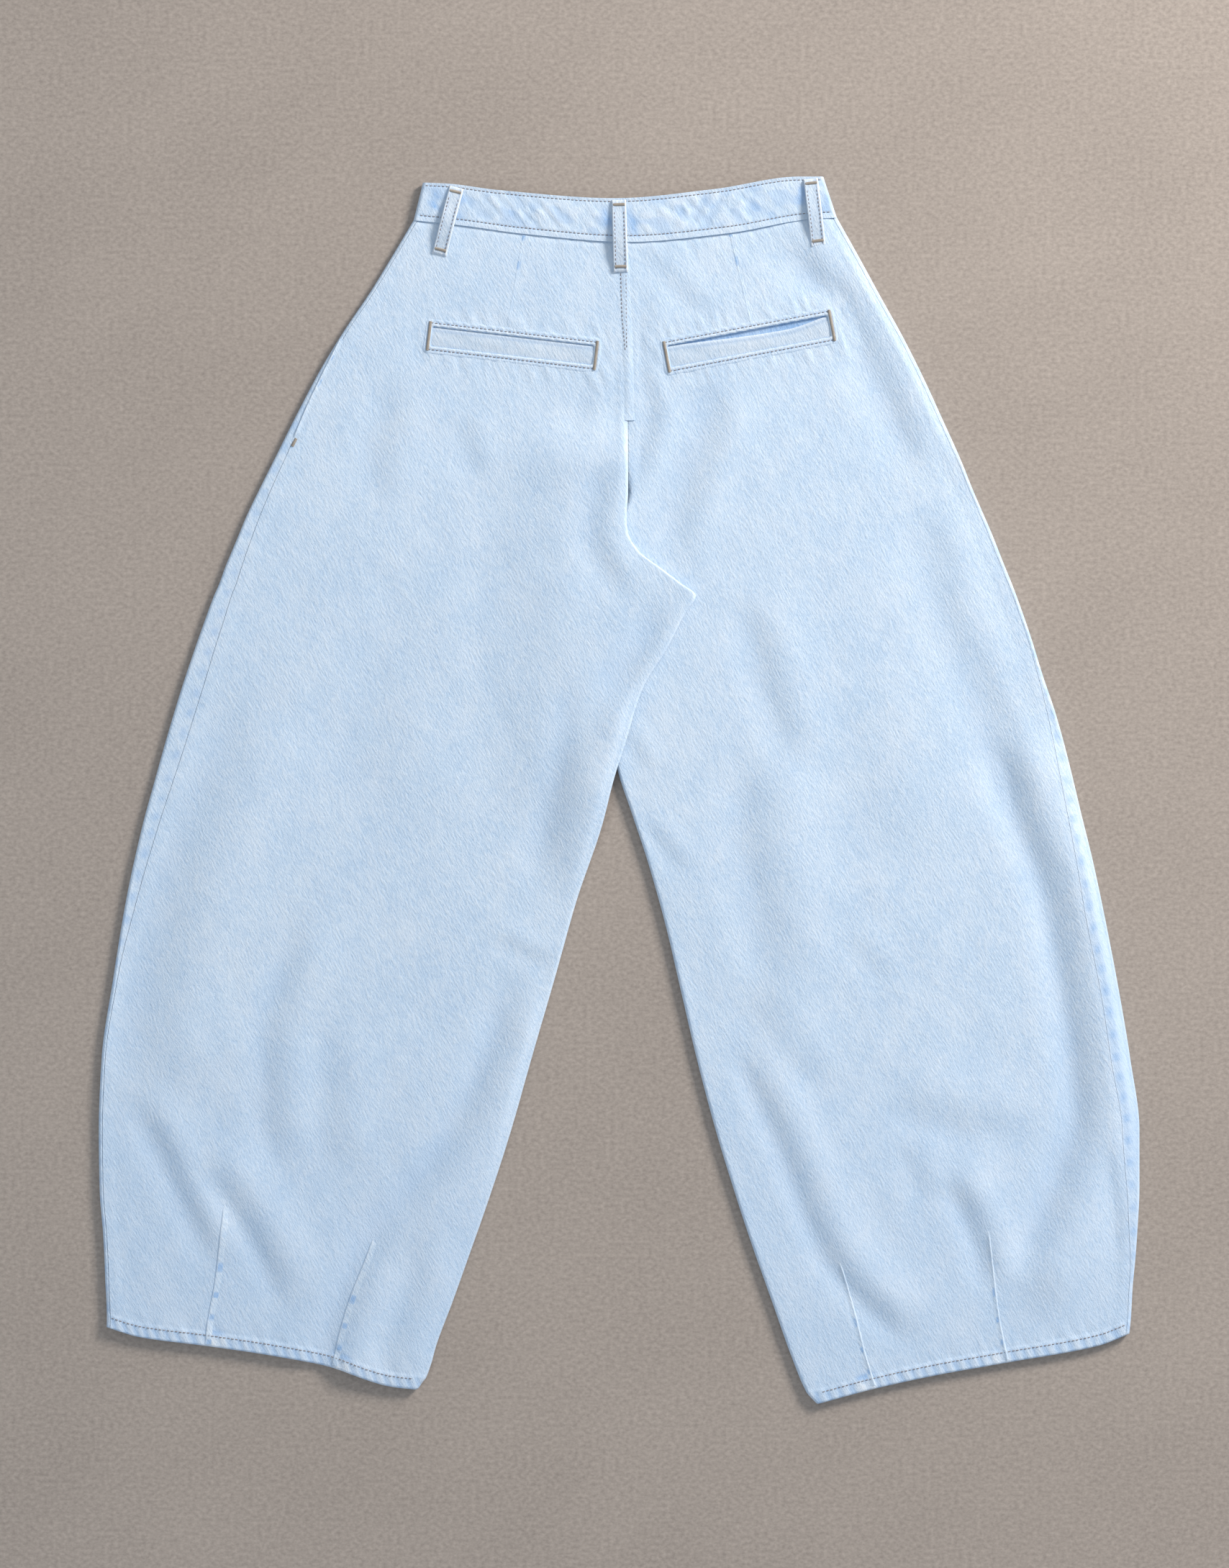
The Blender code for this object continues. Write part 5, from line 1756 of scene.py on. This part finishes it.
@dataclass
class SewnFolds:
    """Darts, the centre seam's lap and the side pocket's edge: sharp folds that are sewn.

    On a dart of the left leg the cloth beside the seam stands up to the east, so its edge
    is in shade, and on the right leg to the west, so that its edge catches the light.
    """

    left: Leg
    right: Leg

    def build(self, finishes: Finishes) -> None:
        """Lay a folded ridge along each of them."""
        shaded = SeamRidge(
            across=(-3.6, -2.0, -0.9, -0.35, 0.0, 0.5, 1.4, 2.8, 4.6, 6.2),
            height=(-0.15, -0.02, -0.15, -0.5, 0.4, 0.55, 0.44, 0.3, 0.12, -0.15),
        )
        lit = SeamRidge(
            across=(-5.4, -3.8, -2.0, -0.9, -0.3, 0.25, 0.6, 1.2, 2.4, 3.6),
            height=(-0.15, -0.02, 0.1, 0.35, 0.6, 0.5, 0.05, -0.05, -0.02, -0.15),
        )
        for name, points in HEM_DARTS.items():
            on_left = name.startswith("left")
            leg = self.left if on_left else self.right
            self.add("hem_dart_" + name, shaded if on_left else lit, points, leg.top, finishes)
        fine = SeamRidge(
            across=(-2.6, -1.5, -0.55, -0.2, 0.15, 0.6, 1.4, 2.8),
            height=(-0.15, 0.02, 0.06, -0.45, 0.14, 0.2, 0.08, -0.15),
            taper=3.0,
        )
        for name, points in WAIST_DARTS.items():
            leg = self.left if name == "left" else self.right
            self.add("waist_dart_" + name, fine, points, leg.top, finishes)
        lap = SeamRidge(
            across=(-5.0, -3.7, -2.4, -1.0, 0.4, 1.8, 3.2, 4.8),
            height=(-0.15, 0.03, 0.22, 0.32, 0.32, 0.24, 0.08, -0.15),
            taper=26.0,
        )
        points = [(8.2, 318.0), (7.0, 360.0), (5.4, 410.0), (4.2, 474.0)]
        self.add("centre_seam_lap", lap, points, self.left.ground, finishes)
        edge = SeamRidge(
            across=(-4.2, -2.8, -1.6, -0.6, 0.1, 0.5, 0.7),
            height=(-0.15, 0.05, 0.3, 0.62, 0.7, 0.3, -0.6),
            taper=10.0,
        )
        points = [(-240.2, 388.0), (-252.4, 364.0), (-266.0, 336.0), (-281.5, 300.0)]
        self.add("side_pocket_edge", edge, points[::-1], self.left.top, finishes)

    def add(
        self,
        name: str,
        ridge: SeamRidge,
        points: list[tuple[float, float]],
        ground: Ground,
        finishes: Finishes,
    ) -> None:
        """Put one ridge into the scene, pale along its crest, bluer in places beside it, and with painted
        shade along its groove.
        """
        parts, raised = ridge.strip(points, ground)
        crest = smooth((raised - 0.25) / 0.4)
        rows = np.arange(raised.shape[0])[:, None]
        beside = (raised > 0.05) * (raised < 0.48)
        dash_waves = np.sin(rows * 0.42 + 0.9 * np.sin(rows * 0.11))
        dashes = smooth(4.0 * dash_waves - 2.4) * smooth(rows / 16.0 - 0.8)
        if name.startswith("centre"):
            dashes = 0.0 * dashes
        # The groove's blue is painted shade along the dart's seam line.
        groove = (raised < -0.4) * (raised > -0.6)
        values = {"worn": 0.25 * crest, "deep": 0.75 * beside * dashes + 0.9 * groove}
        piece = add_piece(name, parts, finishes.denim, values)
        dress(piece, "denim")


@dataclass
class WaistButton:
    """The waist button, set into the lapped front band and level with the underside."""

    radius: float = 8.5
    thick: float = 1.0
    steps: int = 72

    def build(self, finishes: Finishes) -> None:
        """Turn the button: a rounded rim, a ring of small beads and a dished middle.

        The profile runs from the middle of the outer face, over the rim, to the middle of the
        inner face, and the beads are a cosine round the ring.
        """
        seam = float(line_height(WAIST_SEAM, np.array(CENTRE_SEAM_X)))
        top = float(line_height(WAIST_TOP, np.array(CENTRE_SEAM_X))) - 4.0
        middle_y = (seam + top) / 2
        share = np.array([0.03, 0.3, 0.5, 0.56, 0.62, 0.68, 0.74, 0.84, 0.93, 0.98, 1.0, 1.0, 0.6, 0.03])
        height = np.array([0.35, 0.32, 0.28, 0.12, 0.05, 0.12, 0.25, 0.05, 0.0, 0.08, 0.3, 1.0, 1.0, 1.0])
        beads = np.array([0, 0, 0, 0.04, 0.07, 0.04, 0, 0, 0, 0, 0, 0, 0, 0])
        around = np.linspace(0.0, 2.0 * np.pi, self.steps, endpoint=False)
        reach = self.radius * share[:, None] + 0.0 * around[None, :]
        z = height[:, None] + beads[:, None] * (1.0 + np.cos(24.0 * around))[None, :]
        x = CENTRE_SEAM_X + reach * np.cos(around)
        y = middle_y + reach * np.sin(around)
        rings = np.stack([x, y, z], axis=-1)
        button = add_piece("waist_button_metal", tube_of(rings), finishes.metal)
        dress(button, "button_metal", "waist_button")


@dataclass
class Sewing:
    """All the visible stitching and bar tacks, joined by where they are."""

    left: Leg
    right: Leg
    band: Waistband
    loops: list[BeltLoop]
    pockets: list[BackPocket]

    def hem_row(self, leg: Leg, sewing: Stitching) -> MeshParts:
        """Sew the row above a hem."""
        ends = leg.hem[0][0] + 4.0, leg.hem[-1][0] - 4.0
        x = np.linspace(ends[0], ends[1], 40)
        y = line_height(leg.hem, x) + 9.4
        return sewing.row(list(zip(x, y)), leg.top, 0.12)

    def build(self, finishes: Finishes) -> None:
        """Sew everything."""
        sewing = Stitching()
        tack = BarTack()
        self.add("stitching_waistband", self.band.rows_of_stitches(sewing), finishes.thread)
        rows = [row for pocket in self.pockets for row in pocket.stitches(sewing)]
        self.add("stitching_pockets", rows, finishes.thread)
        rows = [row for loop in self.loops for row in loop.stitches(sewing)]
        self.add("stitching_belt_loops", rows, finishes.thread)
        hems = [self.hem_row(leg, sewing) for leg in (self.left, self.right)]
        self.add("stitching_hems", hems, finishes.thread)
        centre = [
            sewing.row([(0.6, 470.0), (1.9, 415.4), (5.0, 378.0)], self.left.top),
            sewing.row([(5.6, 469.0), (5.8, 415.0), (6.2, 380.0)], self.left.top),
        ]
        self.add("stitching_centre_seam", centre, finishes.thread)
        bars = [bar for pocket in self.pockets for bar in pocket.tacks(tack)]
        bars += [bar for loop in self.loops for bar in loop.tacks(tack)]
        bars.append(tack.bar((-278.0, 302.5), (-281.5, 295.7), self.left.top))
        self.add("bar_tacks", bars, finishes.tack_thread)

    def add(self, name: str, parts: list[MeshParts], material: bpy.types.Material) -> None:
        """Put one group of threads into the scene."""
        piece = add_piece(name, joined(parts), material, None, 80.0)
        dress(piece, "denim_trim")


class Lamp(NamedTuple):
    """A square lamp: its place and side in metres, its power in watts and its colour."""

    name: str
    place: tuple[float, float, float]
    size: float
    power: float
    colour: tuple[float, float, float]


LAMPS = [
    Lamp("key_light", (2.72, 2.44, 1.63), 0.95, 196.0, (1.0, 0.97, 0.94)),
    Lamp("fill_light", (-2.4, -1.6, 3.4), 2.6, 20.0, (0.86, 0.95, 1.0)),
]


@dataclass
class Studio:
    """The floor, the soft light from the upper right and the camera straight above."""

    target_x: float = -4.3
    target_y: float = 5.3
    shown_height: float = 1351.0
    distance: float = 3.0

    def floor(self, finishes: Finishes) -> None:
        """Lay the floor just under the cloth."""
        size = 9000.0
        level = -0.2
        sides = [(-size, -size), (size, -size), (size, size), (-size, size)]
        corners = np.array([(x, y, level) for x, y in sides])
        mesh = bpy.data.meshes.new("floor")
        mesh.from_pydata((corners * MM).tolist(), [], [(0, 1, 2, 3)])
        mesh.materials.append(finishes.floor)
        floor = bpy.data.objects.new("floor", mesh)
        bpy.context.scene.collection.objects.link(floor)

    def light(self, lamp: Lamp) -> None:
        """Hang a square lamp that looks at the middle of the trousers.

        Args:
            lamp: The lamp's place, size, power and colour.
        """
        light = bpy.data.lights.new(lamp.name, "AREA")
        light.shape = "SQUARE"
        light.size = lamp.size
        light.energy = lamp.power
        light.color = lamp.colour
        holder = bpy.data.objects.new(lamp.name, light)
        away = np.array(lamp.place, float)
        level = float(np.hypot(away[0], away[1]))
        holder.location = lamp.place
        holder.rotation_euler = (0.0, float(np.arctan2(level, away[2])), float(np.arctan2(away[1], away[0])))
        bpy.context.scene.collection.objects.link(holder)

    def build(self, finishes: Finishes) -> None:
        """Set up the floor, the lights, the air and the camera."""
        self.floor(finishes)
        for lamp in LAMPS:
            self.light(lamp)
        world = bpy.data.worlds.new("soft_air")
        world.use_nodes = True
        air = world.node_tree.nodes["Background"]
        air.inputs["Color"].default_value = (0.84, 0.95, 1.1, 1.0)
        air.inputs["Strength"].default_value = 0.47
        bpy.context.scene.world = world
        bpy.context.scene.view_settings.view_transform = "Standard"
        lens = bpy.data.cameras.new("camera")
        lens.sensor_fit = "VERTICAL"
        lens.sensor_height = 36.0
        lens.lens = lens.sensor_height * self.distance / (self.shown_height * MM)
        camera = bpy.data.objects.new("camera", lens)
        camera.location = (self.target_x * MM, self.target_y * MM, self.distance)
        bpy.context.scene.collection.objects.link(camera)
        bpy.context.scene.camera = camera


def main() -> None:
    """Build the trousers and the studio, piece by piece."""
    logging.basicConfig(level=logging.INFO, format="%(name)s: %(message)s")
    finishes = Finishes()
    left = Leg(Side.LEFT, LEFT_LEG, LEFT_FOLDS, LEFT_HEM)
    right = Leg(Side.RIGHT, RIGHT_LEG, RIGHT_FOLDS, RIGHT_HEM)
    right.build(finishes)
    left.build(finishes)
    band = Waistband()
    band.back(finishes)
    band.front(Side.LEFT, finishes)
    band.front(Side.RIGHT, finishes)
    legs = {"left": left, "right": right}
    pockets = [BackPocket(pocket, legs[pocket.name]) for pocket in POCKETS]
    for pocket in pockets:
        pocket.frame(finishes)
        pocket.welt(finishes)
        pocket.facing(finishes)
    loops = [BeltLoop(place) for place in LOOPS]
    for loop in loops:
        loop.build(finishes)
    SewnFolds(left, right).build(finishes)
    WaistButton().build(finishes)
    Sewing(left, right, band, loops, pockets).build(finishes)
    Studio().build(finishes)


if __name__ == "__main__":
    main()
